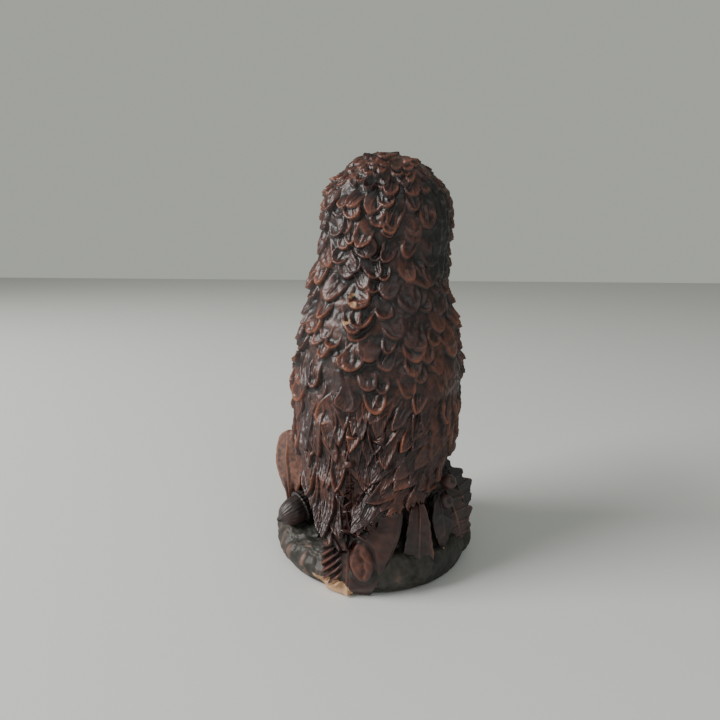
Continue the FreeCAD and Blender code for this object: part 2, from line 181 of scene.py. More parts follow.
def facing_out(grid, wrapped):
    """Unit normals of a grid, turned to point away from the figurine's axis."""
    normals = grid_normals(grid, wrapped)
    level = grid * np.array([1.0, 1.0, 0.0])
    return normals if (level * normals).sum(-1).mean() > 0 else -normals


def show_piece(name, node, points, faces, material, attributes):
    """Show a closed mesh in place of a CAD node, fixed to the one rigid body."""
    piece = mesh_from(name, points, outward(points, faces), material, attributes)
    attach(piece, "root")
    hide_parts(node)


def ringed(node, grid, material, attributes, suffix="carved"):
    """Closed piece from rings (rows) of a wrapped grid, capped at both ends."""
    rows, columns, _ = grid.shape
    points = np.vstack([grid.reshape(-1, 3), grid[0].mean(0), grid[-1].mean(0)])
    first = rows * columns
    column = np.arange(columns)
    after = (column + 1) % columns
    start_fan = np.stack([np.full(columns, first), after, column], -1)
    last_row = (rows - 1) * columns
    end_fan = np.stack([np.full(columns, first + 1), last_row + column, last_row + after], -1)
    faces = [quads_of(rows, columns, True), start_fan, end_fan]
    values = {}
    for label, field in attributes.items():
        values[label] = np.concatenate([field.ravel(), [field[0].mean(), field[-1].mean()]])
    show_piece(f"{node}_{suffix}", node, points, faces, material, values)


def border_of(rows, columns):
    """Indices of a grid's border points, in order round it."""
    index = np.arange(rows * columns).reshape(rows, columns)
    return np.concatenate([index[0, :-1], index[:-1, -1], index[-1, :0:-1], index[:0:-1, 0]])


def sealed(node, grid, material, attributes, depth):
    """Open patch made solid: a skirt runs inward from its border to one inner point."""
    rows, columns, _ = grid.shape
    border = border_of(rows, columns)
    flat = grid.reshape(-1, 3)
    normals = facing_out(grid, False).reshape(-1, 3)
    hem = flat[border] - normals[border] * depth
    inner = hem.mean(0)
    points = np.vstack([flat, hem, inner])
    count = len(border)
    hem_index = len(flat) + np.arange(count)
    step = (np.arange(count) + 1) % count
    skirt = np.stack([border, hem_index, hem_index[step], border[step]], -1)
    fan = np.stack([hem_index, np.full(count, len(flat) + count), hem_index[step]], -1)
    faces = [quads_of(rows, columns, False), skirt, fan]
    values = {}
    for label, field in attributes.items():
        edge = field.ravel()[border]
        values[label] = np.concatenate([field.ravel(), edge, [edge.mean()]])
    show_piece(f"{node}_carved", node, points, faces, material, values)


def slab(node, front, back, material, attributes):
    """Closed sheet between a front grid and a back grid of the same outline."""
    rows, columns, _ = front.shape
    border = border_of(rows, columns)
    step = np.roll(border, -1)
    offset = rows * columns
    points = np.vstack([front.reshape(-1, 3), back.reshape(-1, 3)])
    face = quads_of(rows, columns, False)
    rim = np.stack([border, border + offset, step + offset, step], -1)
    faces = [face, face[:, ::-1] + offset, rim]
    values = {label: np.tile(field.ravel(), 2) for label, field in attributes.items()}
    show_piece(f"{node}_carved", node, points, faces, material, values)


def stain_fields(relief, tint=0.0, chip=0.0):
    """What stained_resin_with_painted_light() reads at each point of a grid."""
    return {"relief": relief, "tint": tint + 0 * relief, "chip": chip + 0 * relief}


# ---------------------------------------------------------------- body skin

CROWN_BASE = 90.0
CROWN_HEIGHT = 20.2
HEAD_HALF = (17.3, 16.2)
HEAD_CENTRE = (-2.1, -5.0)

# Sections of the skin below the crown: height, half width, half depth, centre X, Y.
BODY_SECTIONS = (
    (14.0, 13.0, 11.0, 0.0, -2.0),
    (22.0, 17.5, 15.0, 0.0, -2.0),
    (28.0, 19.8, 17.3, -0.2, -1.5),
    (36.0, 21.4, 18.8, -0.4, -1.2),
    (46.0, 22.4, 19.7, -0.6, -1.0),
    (57.0, 22.3, 19.3, -0.8, -1.5),
    (67.0, 20.5, 17.8, -1.0, -3.0),
    (76.0, 18.3, 16.2, -1.2, -4.2),
    (83.0, 17.3, 15.8, -1.7, -4.8),
)

# The same for the folded wings and tail coverts, which flare back over the tail.
WING_SKIN = (
    (0.0, 19.6, 18.6, 0.0, 10.6),
    (14.0, 20.6, 19.6, 0.0, 7.4),
    (28.0, 21.6, 20.4, -0.2, 1.8),
    (36.0, 22.4, 20.6, -0.4, 0.2),
    (46.0, 22.9, 20.2, -0.6, -1.0),
    (57.0, 22.7, 19.7, -0.8, -1.5),
    (67.0, 20.8, 18.1, -1.0, -3.0),
    (76.0, 18.4, 16.3, -1.2, -4.2),
)


def crown_sections():
    steps = np.radians([0.0, 14.0, 28.0, 42.0, 56.0, 70.0, 82.0, 90.0])
    return [(CROWN_BASE + CROWN_HEIGHT * math.sin(a), HEAD_HALF[0] * math.cos(a),
             HEAD_HALF[1] * math.cos(a), *HEAD_CENTRE) for a in steps]


class Skin:
    """Stack of ellipses, read by distance along its side from the top or by height."""

    def __init__(self, sections, samples=700):
        self.table = spline(sorted(sections, reverse=True), samples)
        self.table[:, 1:3] = np.maximum(self.table[:, 1:3], 0.0)
        steps = np.hypot(np.diff(self.table[:, 0]), np.diff(self.table[:, 1]))
        self.distance = np.concatenate([[0.0], np.cumsum(steps)])

    def at(self, distance, angle):
        """Points at a distance down the side and an angle in degrees round it."""
        columns = [np.interp(distance, self.distance, self.table[:, k]) for k in range(5)]
        z, half_width, half_depth, x, y = columns
        turn = np.radians(angle)
        return np.stack([x + half_width * np.cos(turn), y + half_depth * np.sin(turn),
                         z + 0 * turn], -1)

    def distance_at(self, height):
        return np.interp(-np.asarray(height), -self.table[:, 0], self.distance)


# ----------------------------------------------------------------- feathers

def feather_form(across, along, rim_gain, hollow, pointed):
    """Height (about 0..1) and rim mask of a feather.

    across is -1..1 over the width, along is 0 at the root and 1 at the tip.
    """
    shoulder = np.where(pointed, 0.25, 0.45)
    tip = np.clip((along - shoulder) / (1 - shoulder), 0.0, None)
    round_radius = np.hypot(across, tip)
    sharp_radius = np.abs(across) + tip ** 2.0
    radius = np.where(pointed, 0.5 * (round_radius + sharp_radius), round_radius)
    inside = smoothstep(1.0 - radius, 0.0, 0.16) * smoothstep(along, -0.12, 0.12)
    lift = 0.15 + 0.85 * np.clip(along, 0.0, 1.0)
    rim = bell(radius, 0.80, 0.16) * smoothstep(along, 0.2, 0.6)
    bowl = np.clip(1.0 - radius ** 2, 0.0, 1.0)
    rib = bell(across, 0.0, 0.13) * smoothstep(along, 0.0, 0.2) * smoothstep(1 - along, 0.1, 0.4)
    height = inside * (lift + rim_gain * rim - hollow * bowl + 0.16 * rib)
    return height, rim * inside


def striae(across, along, half_width, pitch):
    """Fine ridges that fan out from a feather's root towards its tip."""
    spread = pitch * (0.45 + 0.55 * np.clip(along, 0.0, 1.0))
    return np.sin(2 * math.pi * across * half_width / spread)


class Coat:
    """Feathers scattered over a skin; where they overlap, the higher one shows."""

    NEAREST = 12         # feathers looked at for each point
    BLOCK = 8000         # points worked on at a time, to save memory
    STRIA_DEPTH = 0.06

    def __init__(self, pointed, pitch):
        self.pointed = pointed
        self.pitch = pitch
        self.rows = []

    def add(self, skin, distance, angle, lean, width, length, thickness):
        """One feather rooted on the skin; lean turns it from straight down, in degrees."""
        here = skin.at(distance, angle)
        above = skin.at(max(distance - 0.5, 0.0), angle)
        down = unit(skin.at(distance + 0.5, angle) - above)
        side = unit(skin.at(distance, angle + 1.0) - skin.at(distance, angle - 1.0))
        turn = math.radians(lean)
        self.rows.append((here, math.cos(turn) * down + math.sin(turn) * side,
                          math.cos(turn) * side - math.sin(turn) * down,
                          width, length, thickness, rng.uniform(-1, 1),
                          rng.uniform(0.0, 0.45), rng.uniform(0.15, 0.75)))

    def lay(self):
        columns = list(zip(*self.rows))
        self.roots, self.downs, self.sides = (np.array(c) for c in columns[:3])
        self.width, self.length, self.thickness = (np.array(c) for c in columns[3:6])
        self.tints, self.rims, self.hollows = (np.array(c) for c in columns[6:])
        self.middles = self.roots + 0.45 * self.length[:, None] * self.downs

    def over(self, points):
        """Height in millimetres, rim mask and tint of the coat at each point."""
        shape = points.shape[:-1]
        flat = points.reshape(-1, 3)
        flat = flat + 0.5 * np.stack([noise(flat, 3.4, 40 + k) for k in range(3)], -1)
        height = np.zeros(len(flat))
        rim = np.zeros(len(flat))
        tint = np.zeros(len(flat))
        for start in range(0, len(flat), self.BLOCK):
            block = slice(start, start + self.BLOCK)
            part = flat[block]
            gap = ((part[:, None, :] - self.middles[None]) ** 2).sum(-1) / self.length ** 2
            near = np.argpartition(gap, self.NEAREST, axis=1)[:, :self.NEAREST]
            offset = part[:, None, :] - self.roots[near]
            half_width = self.width[near] / 2
            across = (offset * self.sides[near]).sum(-1) / half_width
            along = (offset * self.downs[near]).sum(-1) / self.length[near]
            form, edge = feather_form(across, along, self.rims[near], self.hollows[near],
                                      self.pointed)
            line = striae(across, along, half_width, self.pitch)
            form = form * self.thickness[near] + self.STRIA_DEPTH * line * (form > 0.1)
            best = form.argmax(1)
            rows = np.arange(len(part))
            height[block] = form[rows, best]
            rim[block] = edge[rows, best]
            tint[block] = self.tints[near[rows, best]]
        return height.reshape(shape), rim.reshape(shape), tint.reshape(shape)


# Width and ring pitch of the scale feathers at some heights: smallest on the crown.
SCALE_HEIGHTS = (50.0, 80.0, 96.0, 106.0)
SCALE_WIDTHS = (4.9, 4.7, 4.2, 2.7)
SCALE_PITCHES = (4.2, 3.9, 3.3, 2.1)
MISSING_SHARE = 0.13     # of the scale feathers, left out where bare skin shows


def scale_coat(skin, top, bottom):
    """Rounded scale feathers, ring by ring down the head and body."""
    coat = Coat(False, 0.85)
    distance = top
    ring = 0
    while distance < bottom:
        height = float(np.interp(distance, skin.distance, skin.table[:, 0]))
        half_width = float(np.interp(distance, skin.distance, skin.table[:, 1]))
        width = np.interp(height, SCALE_HEIGHTS, SCALE_WIDTHS)
        pitch = np.interp(height, SCALE_HEIGHTS, SCALE_PITCHES)
        count = max(3, int(round(2 * math.pi * half_width / width)))
        for k in range(count):
            angle = (k + 0.5 * (ring % 2)) * 360 / count + rng.normal(0, 75 / count)
            if rng.random() < MISSING_SHARE:
                continue
            scale = rng.uniform(0.74, 1.22)
            coat.add(skin, max(distance + rng.normal(0, 0.24) * pitch, 0.3), angle,
                     rng.normal(0, 20), width * 1.12 * scale,
                     pitch * 1.65 * scale * rng.uniform(0.85, 1.25), rng.uniform(0.8, 1.7))
        distance += pitch
        ring += 1
    coat.lay()
    return coat


# Lean of the flight feathers towards the tail at some heights: left wing, right wing.
LEAN_HEIGHTS = (16.0, 30.0, 42.0, 56.0)
LEFT_LEAN = (30.0, 22.0, 14.0, 6.0)
RIGHT_LEAN = (52.0, 44.0, 34.0, 18.0)
# Big feathers at the wing tips: angle, height of root, lean, width, length, thickness.
WING_TIP_FEATHERS = (
    (44.0, 32.0, 16.0, 6.2, 11.5, 2.5),
    (56.0, 29.5, 20.0, 7.6, 18.5, 3.0),
    (71.0, 38.0, 4.0, 5.0, 14.0, 2.8),
    (99.0, 26.5, -38.0, 6.4, 15.5, 2.9),
    (112.0, 30.0, -46.0, 5.6, 12.0, 2.4),
    (88.0, 36.0, 2.0, 6.0, 10.5, 2.4),
    (95.0, 44.0, -4.0, 5.4, 9.5, 2.5),
    (103.0, 42.0, -8.0, 5.0, 11.5, 2.5),
    (84.0, 47.0, 3.0, 4.8, 9.0, 2.3),
)


FLIGHT_WIDTH, FLIGHT_LENGTH = 5.0, 12.5
FLIGHT_PITCH = 4.6       # between rings of flight feathers
FLIGHT_GAP = 4.3         # between neighbours in a ring
WING_REACH = (-62.0, 242.0)              # angles from one wing's front edge to the other's
TAIL_ANGLE = 91.0        # the feathers here point straight down


def flight_coat(skin):
    """Long pointed feathers of the folded wings and between them."""
    coat = Coat(True, 0.62)
    skin_heights, skin_widths = zip(*[section[:2] for section in WING_SKIN])
    for ring, height in enumerate(np.arange(52.0, 15.0, -FLIGHT_PITCH)):
        step = math.degrees(FLIGHT_GAP / np.interp(height, skin_heights, skin_widths))
        for angle in np.arange(WING_REACH[0] + 0.5 * step * (ring % 2), WING_REACH[1], step):
            lean = np.interp(height, LEAN_HEIGHTS, LEFT_LEAN if angle < 90 else RIGHT_LEAN)
            lean = lean * smoothstep(abs(angle - TAIL_ANGLE), 2.0, 22.0)
            lean = lean if angle < 90 else -lean
            scale = rng.uniform(0.8, 1.2)
            place = float(skin.distance_at(height)) + rng.normal(0, 0.9)
            coat.add(skin, place, angle + rng.normal(0, 0.22) * step, lean + rng.normal(0, 6),
                     FLIGHT_WIDTH * scale, FLIGHT_LENGTH * scale * rng.uniform(0.85, 1.2),
                     rng.uniform(0.9, 1.9))
    for angle, height, lean, width, length, thickness in WING_TIP_FEATHERS:
        coat.add(skin, float(skin.distance_at(height)), angle, lean, width, length, thickness)
    coat.lay()
    return coat


def chip_mask(points, spots):
    """Where the stained surface is chipped away: (centre, radius) spots, ragged edges."""
    mask = np.zeros(points.shape[:-1])
    ragged = 0.55 * fractal(points, 2.2, 3, 90)
    for centre, radius in spots:
        away = np.linalg.norm(points - np.array(centre), axis=-1) / radius
        mask = np.maximum(mask, smoothstep(1.0 - away + ragged, 0.0, 0.12))
    return mask


# ---------------------------------------------------------------- materials

def link(tree, source, target):
    tree.links.new(source, target)


def ramp(tree, value, low, high):
    """Smooth step of a value between two limits."""
    node = tree.nodes.new("ShaderNodeMapRange")
    node.interpolation_type = "SMOOTHSTEP"
    node.inputs["From Min"].default_value = low
    node.inputs["From Max"].default_value = high
    link(tree, value, node.inputs["Value"])
    return node.outputs["Result"]


def feed(tree, value, target):
    """Link a socket, or set a number or an RGB colour."""
    if isinstance(value, bpy.types.NodeSocket):
        link(tree, value, target)
    elif isinstance(value, tuple):
        target.default_value = (*value, 1.0)
    else:
        target.default_value = value


def mixed(tree, factor, first, second):
    """Colour mix of two colours or sockets."""
    node = tree.nodes.new("ShaderNodeMix")
    node.data_type = "RGBA"
    for target, value in ((0, factor), (6, first), (7, second)):
        feed(tree, value, node.inputs[target])
    return node.outputs[2]


def arithmetic(tree, operation, first, second):
    node = tree.nodes.new("ShaderNodeMath")
    node.operation = operation
    for target, value in enumerate((first, second)):
        feed(tree, value, node.inputs[target])
    return node.outputs[0]


def add(tree, first, second):
    return arithmetic(tree, "ADD", first, second)


def times(tree, first, second):
    return arithmetic(tree, "MULTIPLY", first, second)


def bumped(tree, shader, height, strength, distance):
    """Raise the shader's surface by a height value, over a distance in metres."""
    bump = tree.nodes.new("ShaderNodeBump")
    bump.inputs["Strength"].default_value = strength
    bump.inputs["Distance"].default_value = distance
    link(tree, height, bump.inputs["Height"])
    link(tree, bump.outputs["Normal"], shader.inputs["Normal"])


def set_values(shader, **values):
    """Set the shader's sockets; an underscore in a name stands for a space."""
    for label, value in values.items():
        shader.inputs[label.replace("_", " ")].default_value = value


def attribute(tree, name):
    node = tree.nodes.new("ShaderNodeAttribute")
    node.attribute_name = name
    return node.outputs["Fac"]


def noise_value(tree, scale, detail=4.0, roughness=0.6, distortion=0.0):
    """Noise over the object's own coordinates; scale is features per metre."""
    coordinates = tree.nodes.new("ShaderNodeTexCoord")
    texture = tree.nodes.new("ShaderNodeTexNoise")
    texture.inputs["Scale"].default_value = scale
    texture.inputs["Detail"].default_value = detail
    texture.inputs["Roughness"].default_value = roughness
    texture.inputs["Distortion"].default_value = distortion
    link(tree, coordinates.outputs["Object"], texture.inputs["Vector"])
    return texture.outputs["Fac"]


def new_material(name):
    material = bpy.data.materials.new(name)
    material.use_nodes = True
    tree = material.node_tree
    shader = next(n for n in tree.nodes if n.type == "BSDF_PRINCIPLED")
    return material, tree, shader


def stained_resin_with_painted_light(name, wash_and_shade, stain, deep_stain, rubbed_and_highlit, wash_and_shade_limits, rub_and_highlight_limits, gloss):
    """Cast resin: a dark wash in hollows that is partly real wash and partly painted shade,
    stained body, rims lightened partly by rubbing and partly as painted highlight, tan where
    chipped.

    The mesh carries relief (-1..1), tint (-1..1) and chip (0..1) at each vertex.
    """
    material, tree, shader = new_material(name)
    relief = attribute(tree, "relief")
    tint = attribute(tree, "tint")
    chip = attribute(tree, "chip")
    broad = noise_value(tree, 105.0, 3.0, 0.6)
    fine = noise_value(tree, 620.0, 5.0, 0.7, 0.6)
    speckle = noise_value(tree, 2600.0, 2.0, 0.6)

    uneven = add(tree, relief, times(tree, arithmetic(tree, "SUBTRACT", fine, 0.5), 0.9))
    tone = add(tree, broad, times(tree, tint, 0.12))
    body = mixed(tree, ramp(tree, tone, 0.35, 0.68), deep_stain, stain)
    # Low relief takes the dark wash: partly a real wash, partly painted shade in hollows.
    washed_and_shaded = mixed(tree, ramp(tree, uneven, *wash_and_shade_limits), wash_and_shade, body)
    patchy = times(tree, arithmetic(tree, "SUBTRACT", broad, 0.5), 1.6)
    # High relief takes the rubbed colour: partly real rub wear, partly painted highlight on
    # raised rims.
    rubbing_and_highlight = add(tree, add(tree, uneven, patchy), times(tree, tint, 0.18))
    rims = mixed(tree, ramp(tree, rubbing_and_highlight, *rub_and_highlight_limits), washed_and_shaded, rubbed_and_highlit)
    tan = mixed(tree, speckle, (0.34, 0.17, 0.075), (0.66, 0.44, 0.27))
    link(tree, mixed(tree, chip, rims, tan), shader.inputs["Base Color"])

    satin = add(tree, times(tree, fine, 0.26), gloss)
    link(tree, add(tree, satin, times(tree, chip, 0.35)), shader.inputs["Roughness"])
    set_values(shader, IOR=1.45, Coat_Weight=0.16, Coat_Roughness=0.25)
    bumped(tree, shader, add(tree, fine, times(tree, speckle, 0.35)), 0.38, 0.22 * MM)
    return material


FEATHER_RESIN = stained_resin_with_painted_light(
    "resin_feather", wash_and_shade=(0.010, 0.008, 0.008), stain=(0.124, 0.042, 0.028),
    deep_stain=(0.046, 0.020, 0.019), rubbed_and_highlit=(0.25, 0.084, 0.042),
    wash_and_shade_limits=(-0.65, 0.35), rub_and_highlight_limits=(0.5, 1.8), gloss=0.25)
FOLIAGE_RESIN = stained_resin_with_painted_light(
    "resin_foliage", wash_and_shade=(0.011, 0.011, 0.010), stain=(0.078, 0.037, 0.034),
    deep_stain=(0.030, 0.022, 0.022), rubbed_and_highlit=(0.24, 0.100, 0.060),
    wash_and_shade_limits=(-0.75, 0.3), rub_and_highlight_limits=(0.5, 1.3), gloss=0.34)
EARTH_RESIN = stained_resin_with_painted_light(
    "resin_earth", wash_and_shade=(0.008, 0.009, 0.007), stain=(0.038, 0.031, 0.024),
    deep_stain=(0.015, 0.016, 0.012), rubbed_and_highlit=(0.17, 0.092, 0.070),
    wash_and_shade_limits=(-0.7, 0.3), rub_and_highlight_limits=(0.6, 1.4), gloss=0.52)
HORN_RESIN = stained_resin_with_painted_light(
    "resin_horn", wash_and_shade=(0.012, 0.010, 0.009), stain=(0.085, 0.052, 0.032),
    deep_stain=(0.036, 0.026, 0.019), rubbed_and_highlit=(0.26, 0.16, 0.09),
    wash_and_shade_limits=(-0.7, 0.2), rub_and_highlight_limits=(0.5, 1.2), gloss=0.24)


def eye_glass():
    """Amber glass eye; gaze is the angle from its axis, 0 at the pupil's middle."""
    material, tree, shader = new_material("eye_glass")
    gaze = attribute(tree, "gaze")
    ring = add(tree, gaze, times(tree, noise_value(tree, 900.0, 3.0), 0.16))
    iris = mixed(tree, ramp(tree, ring, 0.55, 1.15), (0.62, 0.26, 0.025), (0.20, 0.060, 0.010))
    pupil = mixed(tree, ramp(tree, ring, 0.50, 0.56), (0.004, 0.004, 0.004), iris)
    link(tree, pupil, shader.inputs["Base Color"])
    set_values(shader, Roughness=0.06, Coat_Weight=1.0, Coat_Roughness=0.02, IOR=1.5)
    return material


def green_felt():
    """Matted green fibres of the pad under the base."""
    material, tree, shader = new_material("green_felt")
    fibre = noise_value(tree, 1800.0, 6.0, 0.8, 1.5)
    link(tree, mixed(tree, fibre, (0.020, 0.040, 0.022), (0.055, 0.095, 0.055)),
         shader.inputs["Base Color"])
    set_values(shader, Roughness=0.95, Sheen_Weight=0.3)
    bumped(tree, shader, fibre, 0.6, 0.3 * MM)
    return material


EYE_GLASS = eye_glass()
GREEN_FELT = green_felt()


# ------------------------------------------------------------ torso and head

SKIN = Skin(list(BODY_SECTIONS) + crown_sections())
WING = Skin(WING_SKIN)
HEAD_TURN = math.radians(-22.0)
BACK_FURROW = (-1.5, 12.5)       # X, Y line down which the mantle feathers part
HEAD_BOTTOM = 79.0
TORSO_TOP = 80.5
TORSO_BOTTOM = 18.0
BACK_CHIPS = (((4.3, 12.8, 74.4), 1.35), ((4.0, 13.9, 71.6), 0.9), ((6.2, 15.0, 67.4), 1.1))

COAT = scale_coat(SKIN, 2.0, float(SKIN.distance_at(22.0)))
FLIGHT = flight_coat(WING)


def furrow(points):
    """Dark parting down the middle of the nape, and hollows beside it."""
    x, y, z = points[..., 0], points[..., 1], points[..., 2]
    wander = 1.2 * noise(points * np.array([0.0, 0.0, 1.0]) + 3.0, 9.0, 12)
    line = bell(x, BACK_FURROW[0] + wander + 0.04 * (z - 85), 1.25)
    reach = smoothstep(z, 70.0, 76.0) * smoothstep(103.0 - z, 0.0, 6.0) * (y > 0)
    pits = bell(x, -3.0, 3.4) * bell(z, 85.0, 3.0) * (y > 0)
    return 0.75 * line * reach + 0.95 * pits * smoothstep(noise(points, 3.2, 8), -0.5, 0.3)


def ear_side(points):
    """Streaked dark bands behind the facial ruff, one on each side of the turned head."""
    x = points[..., 0] - HEAD_CENTRE[0]
    y = points[..., 1] - HEAD_CENTRE[1]
    z = points[..., 2]
    angle = np.degrees(np.arctan2(y, x)) - math.degrees(HEAD_TURN)
    angle = (angle + 180.0) % 360.0 - 180.0
    right = bell(angle, 178.0, 17.0) + bell(angle, -182.0, 17.0)
    left = bell(angle, 2.0, 17.0)
    span = smoothstep(z, 76.0, 80.0) * smoothstep(103.0 - z, 0.0, 7.0)
    band = np.clip(right + left, 0, 1) * span
    streak = np.sin(angle * 0.75 + 2.2 * noise(points, 6.0, 21)) * 0.5
    streak = streak + fractal(points * np.array([1.0, 1.0, 0.28]), 1.5, 2, 30)
    return band, streak


COAT_DEPTH = 1.15        # height of a scale feather's tip above the bare skin
FLIGHT_DEPTH = 0.75      # the same for a flight feather
LUMP_DEPTH = 0.75        # broad unevenness of the hand-modelled surface
GRAIN_DEPTH = 0.13
WING_CHANGE = (44.0, 51.0)       # heights between which a wing's coat changes
CROWN_FADE = (98.0, 106.5)       # heights over which the crown's feathers turn shallow


def dressed(points, folded_wing):
    """Height of the feathers over bare skin, their rims, tints and the ear bands.

    A folded wing changes from scale feathers to long ones lower down.
    """
    scales, rim, tint = COAT.over(points)
    band, streak = ear_side(points)
    x, y, z = points[..., 0], points[..., 1], points[..., 2]
    worn = smoothstep(-x, 1.0, 9.0) * smoothstep(y, -2.0, 6.0) * smoothstep(98.0 - z, 0.0, 12.0)
    share = (1.0 - 0.85 * band) * (1.0 - 0.5 * worn)
    share = share * (1.0 - 0.62 * smoothstep(z, *CROWN_FADE))
    lump = LUMP_DEPTH * fractal(points, 5.5, 2, 60)
    fine = GRAIN_DEPTH * fractal(points, 1.3, 3, 61)
    lower = 0.0
    long_height, long_rim, long_tint = 0.0, 0.0, 0.0
    if folded_wing:
        lower = 1.0 - smoothstep(z + 3.0 * noise(points, 6.0, 70), *WING_CHANGE)
        long_height, long_rim, long_tint = FLIGHT.over(points)
    total = COAT_DEPTH * scales * share * (1 - lower) + FLIGHT_DEPTH * lower * long_height
    total = total - furrow(points) * (0.4 + 0.6 * share)
    total = total + band * (0.45 * streak + 1.0) + lump + fine
    rim = rim * share * (1 - lower) + long_rim * lower
    tint = tint * (1 - lower) + long_tint * lower
    return total, rim, tint, band


def wear_and_painted_light_relief(total, wrapped, rim, tint, band):
    """Relief for the stain: hollows get the dark wash and painted shade, a few rims get the
    rubbed colour and painted highlight.
    """
    few = smoothstep(tint, 0.2, 0.9)
    near = relief_of(total, wrapped, 10, 0.36)
    # The wide blur darkens broad hollows as well: painted shade, like ambient occlusion.
    far = relief_of(total, wrapped, 40, 0.8)
    return 0.62 * near + 0.5 * far + 0.25 * rim * few - 1.35 * band


def body_piece(node, first, last, columns, chips=()):
    """Head or torso, between two distances down the skin from the top of the crown."""
    rows = int((last - first) / FINE_STEP)
    distance = np.linspace(first, last, rows)[:, None]
    angle = np.degrees(full_turn(columns))
    grid = SKIN.at(distance + 0 * angle, angle + 0 * distance)
    total, rim, tint, band = dressed(grid, False)
    total = total * smoothstep(distance, 0.1, 1.6)
    placed = grid + facing_out(grid, True) * (total - 0.25)[..., None]
    relief = wear_and_painted_light_relief(total, True, rim, tint, band)
    ringed(node, placed, FEATHER_RESIN, stain_fields(relief, tint, chip_mask(placed, chips)))


body_piece("head", 0.15, float(SKIN.distance_at(HEAD_BOTTOM)), 420)
body_piece("torso", float(SKIN.distance_at(TORSO_TOP)), float(SKIN.distance_at(TORSO_BOTTOM)),
           440, BACK_CHIPS)


# ------------------------------------------------------------ wings and tail

# Edges of each folded wing as (angle, height), from the shoulder to the tip.
WING_EDGES = {
    "left": {
        "inner": ((70, 64), (78, 52), (77, 42), (75, 35), (78, 28.5), (75, 23), (76, 17.5),
                  (81, 12.8)),
        "outer": ((-50, 66), (-58, 52), (-42, 40), (-8, 29), (22, 25), (44, 21), (58, 16.6),
                  (74, 12.8)),
    },
    "right": {
        "inner": ((110, 64), (102, 52), (101, 42), (98, 36), (94, 30), (90, 25.5), (83, 21),
                  (82, 17.2)),
        "outer": ((230, 66), (238, 52), (219, 42), (184, 34), (155, 30), (140, 24.2), (120, 22.4),
                  (97, 20.0), (87, 16.6)),
    },
}
COVERT_EDGES = {
    "inner": ((68, 54), (72, 44), (71, 34), (72, 25), (80, 17.5)),
    "outer": ((112, 54), (110, 44), (108, 34), (100, 26), (90, 19)),
}


def patch_grid(edges, rows, columns):
    """Points, s and t of a patch of wing skin between its inner and outer edges."""
    inner = spline(edges["inner"], rows)
    outer = spline(edges["outer"], rows)
    s, t = np.meshgrid(np.linspace(0, 1, rows), np.linspace(0, 1, columns), indexing="ij")
    angle = inner[:, :1] * (1 - t) + outer[:, :1] * t
    height = inner[:, 1:] * (1 - t) + outer[:, 1:] * t
    return WING.at(WING.distance_at(height), angle), s, t


def wing_patch(node, grid, lift, chips, depth):
    """Feathered patch of the folded wings, raised or sunk by lift, made solid to a depth."""
    total, rim, tint, band = dressed(grid, True)
    placed = grid + facing_out(grid, False) * (total + lift)[..., None]
    relief = wear_and_painted_light_relief(total, False, rim, tint, band)
    fields = stain_fields(relief, tint, chip_mask(placed, chips))
    sealed(node, placed, FEATHER_RESIN, fields, depth)


# How far each wing tip stands off the tail feathers under it.
TIP_LIFT = {"left": 1.7, "right": 0.8}


SHOULDER_SINK = 1.2      # depth at which a wing's upper edge leaves the body
FRONT_SINK = 1.4         # the same for its upper front corner
WING_DEPTH = 2.6


def wing_piece(side):
    """Folded wing, sunk along its shoulder and inner edge and lifted at its tip."""
    grid, s, t = patch_grid(WING_EDGES[side], 250, 300)
    high = smoothstep(grid[..., 2], 40.0, 50.0)
    sunk = SHOULDER_SINK * (1 - smoothstep(s, 0.0, 0.12))
    sunk = sunk + (0.35 + 0.45 * high) * (1 - smoothstep(t, 0.0, 0.06))
    front = FRONT_SINK * smoothstep(t, 0.9, 1.0) * (1 - smoothstep(s, 0.3, 0.5))
    lifted = TIP_LIFT[side] * smoothstep(s, 0.72, 0.92)
    wing_patch(f"wing_{side}", grid, lifted - sunk - front - 0.1, BACK_CHIPS, WING_DEPTH)


def covert_piece():
    """Short feathers between the wings, lying a little deeper than they do."""
    grid, s, _ = patch_grid(COVERT_EDGES, 190, 130)
    sunk = 0.8 + 1.1 * (1 - smoothstep(s, 0.0, 0.1)) + 1.2 * smoothstep(s, 0.62, 0.8)
    wing_patch("tail_coverts", grid, -sunk, (), 2.0)


TAIL_CHIPS = (((10.4, 25.6, 2.4), 2.7), ((7.2, 27.4, 1.4), 2.3), ((3.6, 28.6, 0.7), 1.8))
TAIL_TUCK = 2.6          # how far the tail feathers dip to pass under the wings


def tail_point(x, z, inset):
    """Point on the tail's surface, just inside the wing skin."""
    row = np.interp(WING.distance_at(z), WING.distance, np.arange(len(WING.distance)))
    columns = [np.interp(row, np.arange(len(WING.table)), WING.table[:, k]) for k in range(5)]
    _, half_width, half_depth, centre_x, centre_y = columns
    inside = np.clip(1 - ((x - centre_x) / half_width) ** 2, 0.05, 1)
    return np.stack([x + 0 * z, centre_y + (half_depth - inset) * np.sqrt(inside), z + 0 * x], -1)


def tail_patch(left_edge, right_edge, rows, columns, inset):
    """Grid between two edges given as (X, Z) points from the root down to the tip."""
    first = spline(left_edge, rows)
    second = spline(right_edge, rows)
    s, t = np.meshgrid(np.linspace(0, 1, rows), np.linspace(0, 1, columns), indexing="ij")
    x = first[:, :1] * (1 - t) + second[:, :1] * t
    z = first[:, 1:] * (1 - t) + second[:, 1:] * t
    grid = tail_point(x, z, inset)
    return grid, s, t


RIB_PITCH, RIB_HEIGHT = 2.1, 1.25


